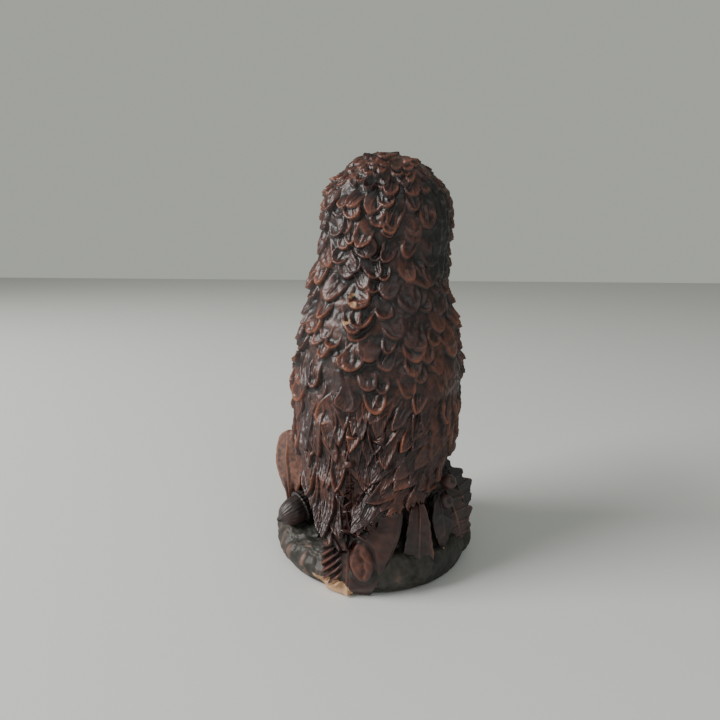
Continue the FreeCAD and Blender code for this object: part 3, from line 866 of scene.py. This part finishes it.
def ribbed_tail_feather():
    """Left tail feather, with bold slanting ribs near its end."""
    grid, _, t = tail_patch(((8.4, 30), (10.6, 18), (11.4, 8), (10.2, 0.9)),
                            ((2.6, 30), (3.0, 18), (3.0, 8), (3.2, 0.7)), 200, 110, 0.3)
    x, z = grid[..., 0], grid[..., 2]
    phase = (z + 0.95 * x + 0.35 * noise(grid, 4.0, 74)) / RIB_PITCH
    ribs = (0.5 + 0.5 * np.sin(2 * math.pi * phase)) ** 0.7
    reach = smoothstep(17.5 - z, 0.0, 2.0) * smoothstep(z, 1.6, 3.5)
    edge = smoothstep(t, 0.0, 0.16) * smoothstep(0.80 - t, 0.0, 0.22)
    band = 0.5 * bell(t, 0.90, 0.09)
    border = smoothstep(t, 0.0, 0.06) * smoothstep(1 - t, 0.0, 0.06)
    height = RIB_HEIGHT * ribs * reach * edge + band + 0.6 * (border - 1)
    height = height + 0.16 * fractal(grid, 2.6, 2, 75) - TAIL_TUCK * smoothstep(z, 16.5, 22.5)
    placed = grid + facing_out(grid, False) * (height - 0.5)[..., None]
    fields = stain_fields(relief_of(height, False, 16, 0.5), 0.0, chip_mask(placed, TAIL_CHIPS))
    sealed("tail_feather_left", placed, FEATHER_RESIN, fields, 2.2)


OVAL_HEIGHT = 9.5        # of the raised oval's middle above the table
OVAL_HALF = (3.1, 4.8)   # its half width and half height


def broad_tail_feather():
    """Right tail feather: broad and smooth, with a raised oval split down its middle."""
    grid, s, t = tail_patch(((3.6, 32), (4.0, 18), (4.0, 8), (3.8, 0.9)),
                            ((-8.4, 32), (-9.8, 22), (-8.2, 13), (-2.4, 0.7)), 210, 150, 0.2)
    x, z = grid[..., 0], grid[..., 2]
    above = z - OVAL_HEIGHT
    oval = np.hypot((x - 0.3 - 0.14 * above) / OVAL_HALF[0], above / OVAL_HALF[1])
    pad = 0.6 * smoothstep(1.0 - oval, -0.1, 0.35) - 0.4 * bell(oval, 1.14, 0.18)
    split = x - 0.2 - 0.16 * above + 0.35 * np.sin(z * 0.9)
    groove = -0.55 * bell(split, 0.0, 0.6) * smoothstep(1 - oval, 0.05, 0.4)
    lobes = 0.12 * np.sin(2.3 * z + 1.2 * np.abs(split)) * smoothstep(1 - oval, 0.1, 0.4)
    edge = smoothstep(t, 0.0, 0.07) * smoothstep(1 - t, 0.0, 0.10)
    height = pad + groove + lobes + 0.6 * (edge - 1) + 0.5 * fractal(grid, 6.0, 3, 76)
    height = height - 1.2 * smoothstep(s, 0.92, 1.0) - TAIL_TUCK * smoothstep(z, 20.0, 25.0)
    placed = grid + facing_out(grid, False) * height[..., None]
    # The raised oval gets a higher tint, a lighter and redder stain: painted highlight.
    fields = stain_fields(relief_of(height, False, 14, 0.5),
                          2.2 * smoothstep(1 - oval, 0, 0.3) - 0.6,
                          chip_mask(placed, TAIL_CHIPS))
    sealed("tail_feather_right", placed, FEATHER_RESIN, fields, 2.4)


wing_piece("left")
wing_piece("right")
covert_piece()
ribbed_tail_feather()
broad_tail_feather()


# --------------------------------------------------------------------- base

# Radius and height of the mound, from the middle of its underside to its top.
MOUND_PROFILE = ((1.0, 0.3), (12.0, 0.3), (24.6, 0.3), (26.4, 1.6), (27.6, 4.2), (27.7, 6.6),
                 (26.6, 9.0), (23.6, 10.6), (18.0, 12.0), (9.0, 13.0), (1.0, 13.3))


def base_piece():
    """Rough earth mound with a worn rim and broad carved facets."""
    profile = spline(MOUND_PROFILE, 210)
    turn = full_turn(440)
    radius = profile[:, :1]
    z = profile[:, 1:] + 0 * turn
    grid = np.stack([radius * np.cos(turn), radius * np.sin(turn), z], -1)
    crag = 1.0 - 2.0 * np.abs(fractal(grid, 8.0, 4, 80))
    streak = fractal(grid * np.array([1.0, 1.0, 0.4]), 2.2, 3, 84)
    free = smoothstep(z, 0.35, 2.2)
    height = free * (0.6 * crag + 0.4 * streak - 0.2)
    angle = np.degrees(turn) + 0 * z
    slope = bell(angle, 58.0, 26.0) * smoothstep(radius, 17.0, 24.0) * smoothstep(z, 4.0, 9.0)
    height = height - 1.6 * slope
    placed = grid + facing_out(grid, True) * height[..., None]
    placed[..., 2] = np.maximum(placed[..., 2], MOUND_PROFILE[0][1])
    worn = bell(angle, 50.0, 40.0) * smoothstep(radius, 22.0, 27.0)
    relief = relief_of(height, True, 12, 0.5) + 0.55 * worn * (0.6 + streak)
    ringed("base_mound", placed, EARTH_RESIN,
           stain_fields(relief, 2.0 * worn - 0.2, chip_mask(placed, TAIL_CHIPS)))


STUMP_BOTTOM, STUMP_TOP = 9.0, 24.5
STUMP_RADIUS = 18.3      # at its bottom
STUMP_SET_FORWARD = 2.0


def stump_piece():
    """Perch stump with bark ridges that run up and down it."""
    z = np.linspace(STUMP_BOTTOM, STUMP_TOP, 110)[:, None]
    turn = full_turn(360)
    taper = 1.1 * (z - STUMP_BOTTOM) / 15.0
    shoulder = 2.6 * smoothstep(z, STUMP_TOP - 1.5, STUMP_TOP)
    radius = STUMP_RADIUS - taper - shoulder
    grid = np.stack([radius * np.cos(turn), radius * np.sin(turn) - STUMP_SET_FORWARD,
                     z + 0 * turn], -1)
    out = np.stack([np.cos(turn) + 0 * z, np.sin(turn) + 0 * z, 0 * z + 0 * turn], -1)
    bark = fractal(grid * np.array([1.0, 1.0, 0.22]), 2.4, 3, 82)
    ridge = 1.0 - 2.0 * np.abs(bark)
    height = 0.75 * ridge + 0.25 * fractal(grid, 1.2, 2, 83)
    placed = grid + out * (height - 0.6)[..., None]
    ringed("perch_stump", placed, EARTH_RESIN, stain_fields(relief_of(height, True, 10, 0.4)))


# Radius and height of the felt pad, round its softened edge.
FELT_PROFILE = ((0.5, 0.0), (22.6, 0.0), (23.0, 0.25), (23.0, 0.8), (22.7, 1.0), (0.5, 1.0))


def felt_piece():
    profile = np.array(FELT_PROFILE)
    turn = full_turn(96)
    grid = np.stack([profile[:, :1] * np.cos(turn), profile[:, :1] * np.sin(turn),
                     profile[:, 1:] + 0 * turn], -1)
    ringed("felt_pad", grid, GREEN_FELT, {}, "disc")


base_piece()
stump_piece()
felt_piece()


# ---------------------------------------------------------- leaves and fruit

# Leaf outlines: place from stem (0) to tip (1), and share of the leaf's half width there.
OAK_LOBES = ((0.0, 0.14), (0.12, 0.42), (0.22, 0.34), (0.36, 0.80), (0.47, 0.58),
             (0.62, 1.0), (0.74, 0.66), (0.86, 0.70), (1.0, 0.10))
BROAD_LEAF = ((0.0, 0.35), (0.2, 0.62), (0.5, 0.82), (0.8, 0.98), (0.93, 1.0), (1.0, 0.62))
POINTED_LEAF = ((0.0, 0.25), (0.2, 0.62), (0.45, 1.0), (0.7, 0.82), (0.88, 0.42), (1.0, 0.04))
EAR_LEAF = ((0.0, 0.52), (0.2, 0.60), (0.4, 0.85), (0.65, 1.0), (0.85, 0.86), (0.95, 0.56),
            (1.0, 0.15))

# node: outline, stem point, tip point, width, bow outward, fold, side veins and the
# direction the face looks, in degrees from +X towards +Y
LEAVES = {
    "oak_leaf_left_rear": (EAR_LEAF, (22.6, 6.6, 12.0), (24.2, 4.6, 34.6), 9.5, 1.0, 0.9, 0, 62),
    "oak_leaf_left_front": (OAK_LOBES, (18.0, -10.0, 24.5), (24.0, -13.5, 8.0), 13.0, 1.8, 1.2,
                            5, -32),
    "oak_leaf_right_rear": (BROAD_LEAF, (-13.4, 18.6, 21.5), (-13.6, 23.0, 5.4), 8.2, 0.9, 0.9,
                            0, 108),
    "oak_leaf_right_narrow": (POINTED_LEAF, (-18.2, 14.8, 22.5), (-20.0, 18.0, 8.8), 5.4, 1.6,
                              1.3, 3, 120),
    "oak_leaf_right_lower": (OAK_LOBES, (-18.4, 10.4, 26.0), (-25.2, 10.0, 6.5), 12.5, 1.6, 1.4,
                             6, 125),
    "oak_leaf_right_upper": (OAK_LOBES, (-18.8, 6.2, 29.0), (-26.4, 3.6, 12.5), 12.0, 1.8, 1.4,
                             6, 135),
    "oak_leaf_right_front": (OAK_LOBES, (-18.6, -9.0, 25.5), (-24.4, -13.8, 7.5), 13.0, 1.8, 1.2,
                             5, 212),
    "oak_leaf_front": (OAK_LOBES, (0.5, -18.5, 17.5), (-2.0, -27.4, 9.0), 12.5, 1.4, 1.2, 5, 270),
}
LEAF_THICKNESS = 1.5
MIDRIB_HEIGHT, VEIN_HEIGHT = 0.45, 0.30
LEAF_CHIPS = (((-12.4, 23.6, 5.6), 0.9), ((-20.0, 18.4, 9.0), 0.6))
EAR_LEAF_TINT = 4.5      # far redder than the other leaves


def leaf_piece(node, outline, stem, tip, width, bow, fold, veins, facing):
    """Thin leaf bent along its length, with a midrib and side veins or pleats."""
    rows, columns = 130, 81
    v, u = np.meshgrid(np.linspace(0, 1, rows), np.linspace(-1, 1, columns), indexing="ij")
    stem = np.array(stem)
    tip = np.array(tip)
    along = unit(tip - stem)
    look = math.radians(facing)
    out = np.array([math.cos(look), math.sin(look), 0.0])
    out = unit(out - along * np.dot(out, along))
    side = np.cross(along, out)
    knots = np.array(outline)
    half = np.interp(v, *spline(knots, 200).T) * width / 2
    ragged = 1 + 0.05 * noise(np.stack([v * 14, np.sign(u) * 3, 0 * v], -1), 1.0, len(node))
    line = stem + (tip - stem) * v[..., None] + out * (bow * np.sin(math.pi * v))[..., None]
    grid = line + side * (u * half * ragged)[..., None]
    midrib = bell(u, 0.0, 0.09) * smoothstep(1.02 - v, 0.0, 0.4)
    height = MIDRIB_HEIGHT * midrib - fold * np.abs(u) ** 1.6 + 0.5 * fold * np.abs(u) ** 4
    if veins:
        phase = v * veins - 0.45 * np.abs(u)
        ridge = np.clip(np.cos(2 * math.pi * phase), 0, 1) ** 5
        height = height + VEIN_HEIGHT * ridge * smoothstep(np.abs(u), 0.02, 0.15)
        groove = np.sin(2 * math.pi * (v * 30 - 10 * np.abs(u)))
        height = height + 0.05 * groove
    elif outline is EAR_LEAF:
        pleat = np.sin(u * 9.0 + 0.6 * np.sin(v * 5))
        height = height + 0.42 * pleat * (1 - smoothstep(v, 0.18, 0.5))
    height = height + 0.22 * fractal(grid, 3.0, 3, 95)
    front = grid + out * height[..., None]
    edge_taper = 1 - 0.6 * np.abs(u) ** 4
    back = grid + out * (height - LEAF_THICKNESS * edge_taper)[..., None]
    rim = bell(np.abs(u), 0.95, 0.08)
    relief = relief_of(height, False, 7, 0.2) + 0.7 * rim + 0.3 * midrib
    tint = EAR_LEAF_TINT if outline is EAR_LEAF else rng.uniform(-0.8, 0.4)
    slab(node, front, back, FOLIAGE_RESIN,
         stain_fields(relief, tint, chip_mask(front, LEAF_CHIPS)))


def spun(centre, axis, lengths, radii, columns=96):
    """Grid of rings about an axis, its outward directions and its angles."""
    axis = unit(np.array(axis, float))
    helper = np.array([0.0, 0.0, 1.0]) if abs(axis[2]) < 0.9 else np.array([1.0, 0.0, 0.0])
    first = unit(np.cross(axis, helper))
    second = np.cross(axis, first)
    turn = full_turn(columns)
    ring = first * np.cos(turn)[..., None] + second * np.sin(turn)[..., None]
    grid = (np.array(centre) + axis * np.asarray(lengths)[:, None, None]
            + ring * np.asarray(radii)[:, None, None])
    return grid, np.broadcast_to(ring, grid.shape), turn


BERRIES = {"berry_upper": (-21.0, 11.0, 24.6), "berry_lower": (-20.2, 14.0, 20.4)}
BERRY_RADIUS = 2.0


def berry_piece(node, centre):
    """Round berry with a dimple at its far end."""
    polar = np.linspace(0.06, math.pi - 0.06, 56)
    grid, _, _ = spun(centre, (-0.5, 0.6, 0.5), -BERRY_RADIUS * np.cos(polar),
                      BERRY_RADIUS * np.sin(polar), 80)
    dimple = bell(polar[:, None], math.pi, 0.35)
    height = 0.10 * fractal(grid, 1.2, 2, 97) - 0.45 * dimple
    out = unit(grid - np.array(centre))
    placed = grid + out * height[..., None]
    ringed(node, placed, FOLIAGE_RESIN, stain_fields(0.25 - dimple + 0 * height, 0.3))


ACORN_CENTRE = (20.6, 11.4, 14.2)
ACORN_AXIS = (0.70, 0.68, -0.22)
ACORN_LENGTH, ACORN_RADIUS = 5.0, 3.8    # half length and radius of the nut
CUP_STEPS = (60, 20)                     # rings on the cup's outside and inside
CUP_OFFSETS = (0.95, -0.3)               # of those rings from the nut's surface


def acorn_pieces():
    """Nut with a blunt point, half covered by a cup of small scales."""
    polar = np.linspace(0.06, math.pi - 0.06, 70)
    point = 1.1 * bell(polar, math.pi, 0.22)
    grid, ring, turn = spun(ACORN_CENTRE, ACORN_AXIS, -ACORN_LENGTH * np.cos(polar) + point,
                            ACORN_RADIUS * np.sin(polar), 110)
    height = 0.14 * fractal(grid, 2.0, 2, 98) + 0.05 * np.sin(turn * 22)
    placed = grid + ring * height[..., None]
    chip_spot = np.array(ACORN_CENTRE) + ACORN_RADIUS * unit(np.array((0.5, 0.8, -0.45)))
    ringed("acorn_nut", placed, FOLIAGE_RESIN,
           stain_fields(relief_of(height, True, 5), 0.6, chip_mask(placed, ((chip_spot, 0.9),))))

    lip = math.pi * 0.42
    shell = np.concatenate([np.linspace(0.06, lip, CUP_STEPS[0]),
                            np.linspace(lip, 0.06, CUP_STEPS[1])])
    grow = np.repeat(CUP_OFFSETS, CUP_STEPS)
    grid, _, turn = spun(ACORN_CENTRE, ACORN_AXIS, -(ACORN_LENGTH + grow) * np.cos(shell),
                         (ACORN_RADIUS + grow) * np.sin(shell), 120)
    scales = np.sin(turn * 12 + shell[:, None] * 9) * np.sin(turn * 12 - shell[:, None] * 9)
    outside = (grow > 0)[:, None]
    height = np.where(outside, 0.28 * scales * np.sin(shell[:, None]), 0.0)
    placed = grid + unit(grid - np.array(ACORN_CENTRE)) * height[..., None]
    ringed("acorn_cap", placed, FOLIAGE_RESIN, stain_fields(np.clip(2.2 * height, -1, 1)))


for leaf_node, leaf_values in LEAVES.items():
    leaf_piece(leaf_node, *leaf_values)
for berry_node, berry_centre in BERRIES.items():
    berry_piece(berry_node, berry_centre)
acorn_pieces()


# --------------------------------------------------------------- face and feet

def head_point(x, y, z):
    """Figurine point for one given in the turned head's own axes (it looks along -Y)."""
    c, s = math.cos(HEAD_TURN), math.sin(HEAD_TURN)
    return np.stack([HEAD_CENTRE[0] + c * x - s * y, HEAD_CENTRE[1] + s * x + c * y,
                     z + 0 * x], -1)


DISC_CENTRE = (7.9, -12.6, 93.5)
DISC_RADII = (7.5, 9.9)
DISC_DEPTH = 10.5        # how far its back reaches into the head
DISC_STEPS = (26, 120)                   # rings on the disc's back and front
EYE_CENTRE = (7.4, -14.1, 94.2)
EYE_RADIUS = 4.0


def disc_piece(side, sign):
    """Facial disc: a dish of radiating bristle feathers with a raised ruff."""
    back, face = DISC_STEPS
    share = np.concatenate([np.linspace(0.70, 1.0, back) ** 0.6, np.linspace(1.0, 0.06, face)])
    depth = np.concatenate([np.linspace(DISC_DEPTH, 0.6, back), np.zeros(face)])[:, None]
    turn = full_turn(260)
    r = share[:, None]
    front = (depth == 0)
    dish = -2.1 * bell(r, 0.93, 0.12) + 1.5 * (1 - r ** 2) - 1.0 * bell(r, 0.46, 0.07)
    bristles = np.sin(turn * 34 + 3.0 * r) * smoothstep(r, 0.42, 0.6)
    barred = np.sin(turn * 17 + 1.0) * bell(r, 0.92, 0.10)
    wander = 1 + 0.025 * np.sin(5 * turn + sign) + 0.018 * np.sin(17 * turn)
    x = sign * DISC_CENTRE[0] + r * wander * DISC_RADII[0] * np.cos(turn)
    z = DISC_CENTRE[2] + r * wander * DISC_RADII[1] * np.sin(turn)
    wrap = 0.62 * np.clip(sign * x - 7.0, -7, 12) ** 2 / 8.0
    height = front * (-0.16 * bristles - 0.34 * barred)
    back_streak = (1 - front) * 0.3 * np.sin(turn * 26 + 2 * np.sin(turn * 5))
    y = DISC_CENTRE[1] - 3.2 + dish + wrap + depth + height + back_streak
    grid = head_point(x, y, z)
    relief = np.clip(-3.0 * height - 0.7 * dish * bell(r, 0.93, 0.15) * 0.5
                     - 0.8 * bell(r, 0.60, 0.10), -1, 1)
    # The back rows round the disc's outer rim get a far lower tint, a darker and less orange
    # stain: painted shade.
    ringed(f"facial_disc_{side}", grid, FEATHER_RESIN,
           stain_fields(relief + 0 * turn, -0.4 - 2.0 * (1 - front)))


def eye_piece(side, sign):
    """Glass eye that looks ahead and a little outward."""
    polar = np.linspace(0.03, math.pi - 0.03, 60)
    centre = head_point(sign * EYE_CENTRE[0], EYE_CENTRE[1], EYE_CENTRE[2])
    gaze = head_point(sign * 1.2, -10.0, 0.0) - head_point(0.0, 0.0, 0.0)
    grid, _, turn = spun(centre, gaze, EYE_RADIUS * np.cos(polar), EYE_RADIUS * np.sin(polar), 96)
    ringed(f"eye_{side}", grid, EYE_GLASS, {"gaze": polar[:, None] + 0 * turn}, "glass")


def horn_limb(node, path, radii, squash=1.0, rings=0.0, tint=0.0):
    """Smooth tapering limb of horn along a curved path, with soft cross rings."""
    steps = 70
    line = spline(path, steps)
    radius = spline(list(enumerate(radii)), steps)[:, 1:]
    radius = np.maximum(radius, 0.05)
    ahead = unit(np.gradient(line, axis=0))
    side = unit(np.cross(ahead, np.array([0.0, 0.0, 1.0]) + 1e-6))
    lift = np.cross(side, ahead)
    turn = full_turn(64)[..., None]
    wave = 1 + rings * np.sin(np.linspace(0, 40, steps))[:, None]
    ring = side[:, None] * np.cos(turn) + squash * lift[:, None] * np.sin(turn)
    rough = 1 + 0.05 * fractal(line[:, None] + ring, 1.4, 2, 66)[..., None]
    grid = line[:, None] + ring * (radius * wave)[:, :, None] * rough
    relief = np.clip(6 * (wave - 1), -1, 1) + 0 * turn[..., 0]
    ringed(node, grid, HORN_RESIN, stain_fields(relief, tint))


# The beak's middle line in the head's own axes (Y, Z), and its radii along it.
BEAK_LINE = ((-16.6, 93.6), (-19.6, 92.4), (-21.2, 89.4), (-20.9, 86.2), (-19.8, 84.2))
BEAK_RADII = (2.4, 2.5, 2.1, 1.3, 0.3)


FOOT_SPREAD = 7.5        # of each leg and foot from the middle
LEG_HALF_LENGTH, LEG_RADIUS = 8.6, 5.6


def leg_piece(side, sign):
    """Thick feathered leg that comes out of the breast above the foot."""
    polar = np.linspace(0.08, math.pi - 0.08, 90)
    centre = np.array([sign * FOOT_SPREAD, -15.4, 29.5])
    grid, _, turn = spun(centre, (0, 0, -1), -LEG_HALF_LENGTH * np.cos(polar),
                         LEG_RADIUS * np.sin(polar), 150)
    tufts = np.sin(turn * 9 + 1.2 * np.sin(polar[:, None] * 7)) * 0.5
    fall = ((polar[:, None] * 3.2 + 0.25 * np.cos(turn * 9)) % 1.0)
    height = 0.55 * fall + 0.2 * tufts + 0.25 * fractal(grid, 1.8, 2, 58)
    placed = grid + unit(grid - centre) * (height - 0.3)[..., None]
    ringed(f"leg_{side}", placed, FEATHER_RESIN, stain_fields(relief_of(height, True, 6)))


TOES = (("inner", -24.0), ("middle", 0.0), ("outer", 24.0))      # name and splay in degrees
# Middle lines of a toe and its talon from the ankle (forward, up), and radii along them.
TOE_LINE = ((-0.5, 0.0), (2.5, 0.7), (5.0, 0.3), (7.2, -0.7))
TOE_RADII = (1.9, 2.0, 1.7, 1.35)
TALON_LINE = ((6.6, -0.4), (8.2, -0.9), (9.3, -2.4), (9.2, -4.2))
TALON_RADII = (1.15, 1.0, 0.65, 0.12)


def foot_pieces(side, sign):
    """Three knuckled toes over the stump's edge, each with a curved talon."""
    ankle = np.array([sign * FOOT_SPREAD, -15.6, 24.4])
    for toe, splay in TOES:
        turn = math.radians(sign * splay)
        ahead = np.array([math.sin(turn), -math.cos(turn), 0.0])
        up = np.array([0.0, 0.0, 1.0])
        toe_path = [ankle + reach * ahead + rise * up for reach, rise in TOE_LINE]
        horn_limb(f"toe_{side}_{toe}", toe_path, TOE_RADII, squash=0.9, rings=0.06)
        talon_path = [ankle + reach * ahead + rise * up for reach, rise in TALON_LINE]
        horn_limb(f"talon_{side}_{toe}", talon_path, TALON_RADII, tint=-1.5)


for side_name, side_sign in (("left", 1), ("right", -1)):
    disc_piece(side_name, side_sign)
    eye_piece(side_name, side_sign)
    leg_piece(side_name, side_sign)
    foot_pieces(side_name, side_sign)
horn_limb("beak", [head_point(0.0, y, z) for y, z in BEAK_LINE], BEAK_RADII, squash=1.1)


# --------------------------------------------------------------- set and view

CAMERA_AZIMUTH = math.radians(187.0)     # 0 looks along +Y, 180 looks at the back
CAMERA_PITCH = math.radians(12.0)
CAMERA_REACH = 147.0                     # level distance from the figurine's axis
CAMERA_HEIGHT = 86.0
CAMERA_SIDE = -4.0                       # to the viewer's left of the axis
CAMERA_LENS = 27.05
SENSOR_WIDTH = 36.0
AMBIENT = 0.32                # world light that reaches surfaces
BACKDROP_LIFT = 0.15          # how much brighter the backdrop looks to the camera


def view_axes(azimuth, pitch):
    """Right, up and backward directions of a camera."""
    right = Vector((math.cos(azimuth), math.sin(azimuth), 0.0))
    back = Vector((math.sin(azimuth) * math.cos(pitch),
                   -math.cos(azimuth) * math.cos(pitch), math.sin(pitch)))
    return right, back.cross(right), back


def make_camera():
    """Camera a hand's breadth from the figurine, behind it and a little above."""
    data = bpy.data.cameras.new("camera")
    data.lens = CAMERA_LENS
    data.sensor_width = SENSOR_WIDTH
    data.clip_start = 0.01
    camera = bpy.data.objects.new("camera", data)
    right, up, back = view_axes(CAMERA_AZIMUTH, CAMERA_PITCH)
    level = Vector((math.sin(CAMERA_AZIMUTH), -math.cos(CAMERA_AZIMUTH), 0.0))
    place = level * CAMERA_REACH + right * CAMERA_SIDE + Vector((0, 0, CAMERA_HEIGHT))
    turn = Matrix((right, up, back)).transposed().to_4x4()
    camera.matrix_world = Matrix.Translation(place * MM) @ turn
    bpy.context.scene.collection.objects.link(camera)
    bpy.context.scene.camera = camera


def flat_material(name, colour, roughness):
    material, _, shader = new_material(name)
    shader.inputs["Base Color"].default_value = (*colour, 1.0)
    shader.inputs["Roughness"].default_value = roughness
    return material


def area_light(name, place, target, size, power, colour):
    data = bpy.data.lights.new(name, "AREA")
    data.shape = "RECTANGLE"
    data.size = size[0]
    data.size_y = size[1]
    data.energy = power
    data.color = colour
    lamp = bpy.data.objects.new(name, data)
    lamp.location = place
    aim = Vector(target) - Vector(place)
    lamp.rotation_euler = aim.to_track_quat("-Z", "Y").to_euler()
    bpy.context.scene.collection.objects.link(lamp)


def make_studio():
    """Pale floor that runs far back, and soft light from the viewer's left."""
    reach = 1200.0
    corners = np.array([(-reach, -reach, 0), (reach, -reach, 0),
                        (reach, reach, 0), (-reach, reach, 0)], float)
    floor = mesh_from("floor", corners, [np.array([[0, 1, 2, 3]])],
                      flat_material("pale_floor", (0.78, 0.78, 0.77), 0.6), smooth=False)
    world = bpy.data.worlds.new("studio")
    world.use_nodes = True
    background = next(n for n in world.node_tree.nodes if n.type == "BACKGROUND")
    background.inputs["Color"].default_value = (0.86, 0.90, 0.80, 1.0)
    paths = world.node_tree.nodes.new("ShaderNodeLightPath")
    backdrop = times(world.node_tree, paths.outputs["Is Camera Ray"], BACKDROP_LIFT)
    link(world.node_tree, add(world.node_tree, backdrop, AMBIENT), background.inputs["Strength"])
    bpy.context.scene.world = world
    area_light("window", (0.75, 0.25, 0.55), (0.0, 0.0, 0.05), (0.5, 0.5), 10.5,
               (1.0, 0.985, 0.96))
    area_light("room", (-0.5, 0.8, 0.8), (0.0, 0.0, 0.05), (0.8, 0.8), 2.2,
               (0.93, 0.97, 1.0))


make_camera()
make_studio()
bpy.context.view_layer.update()
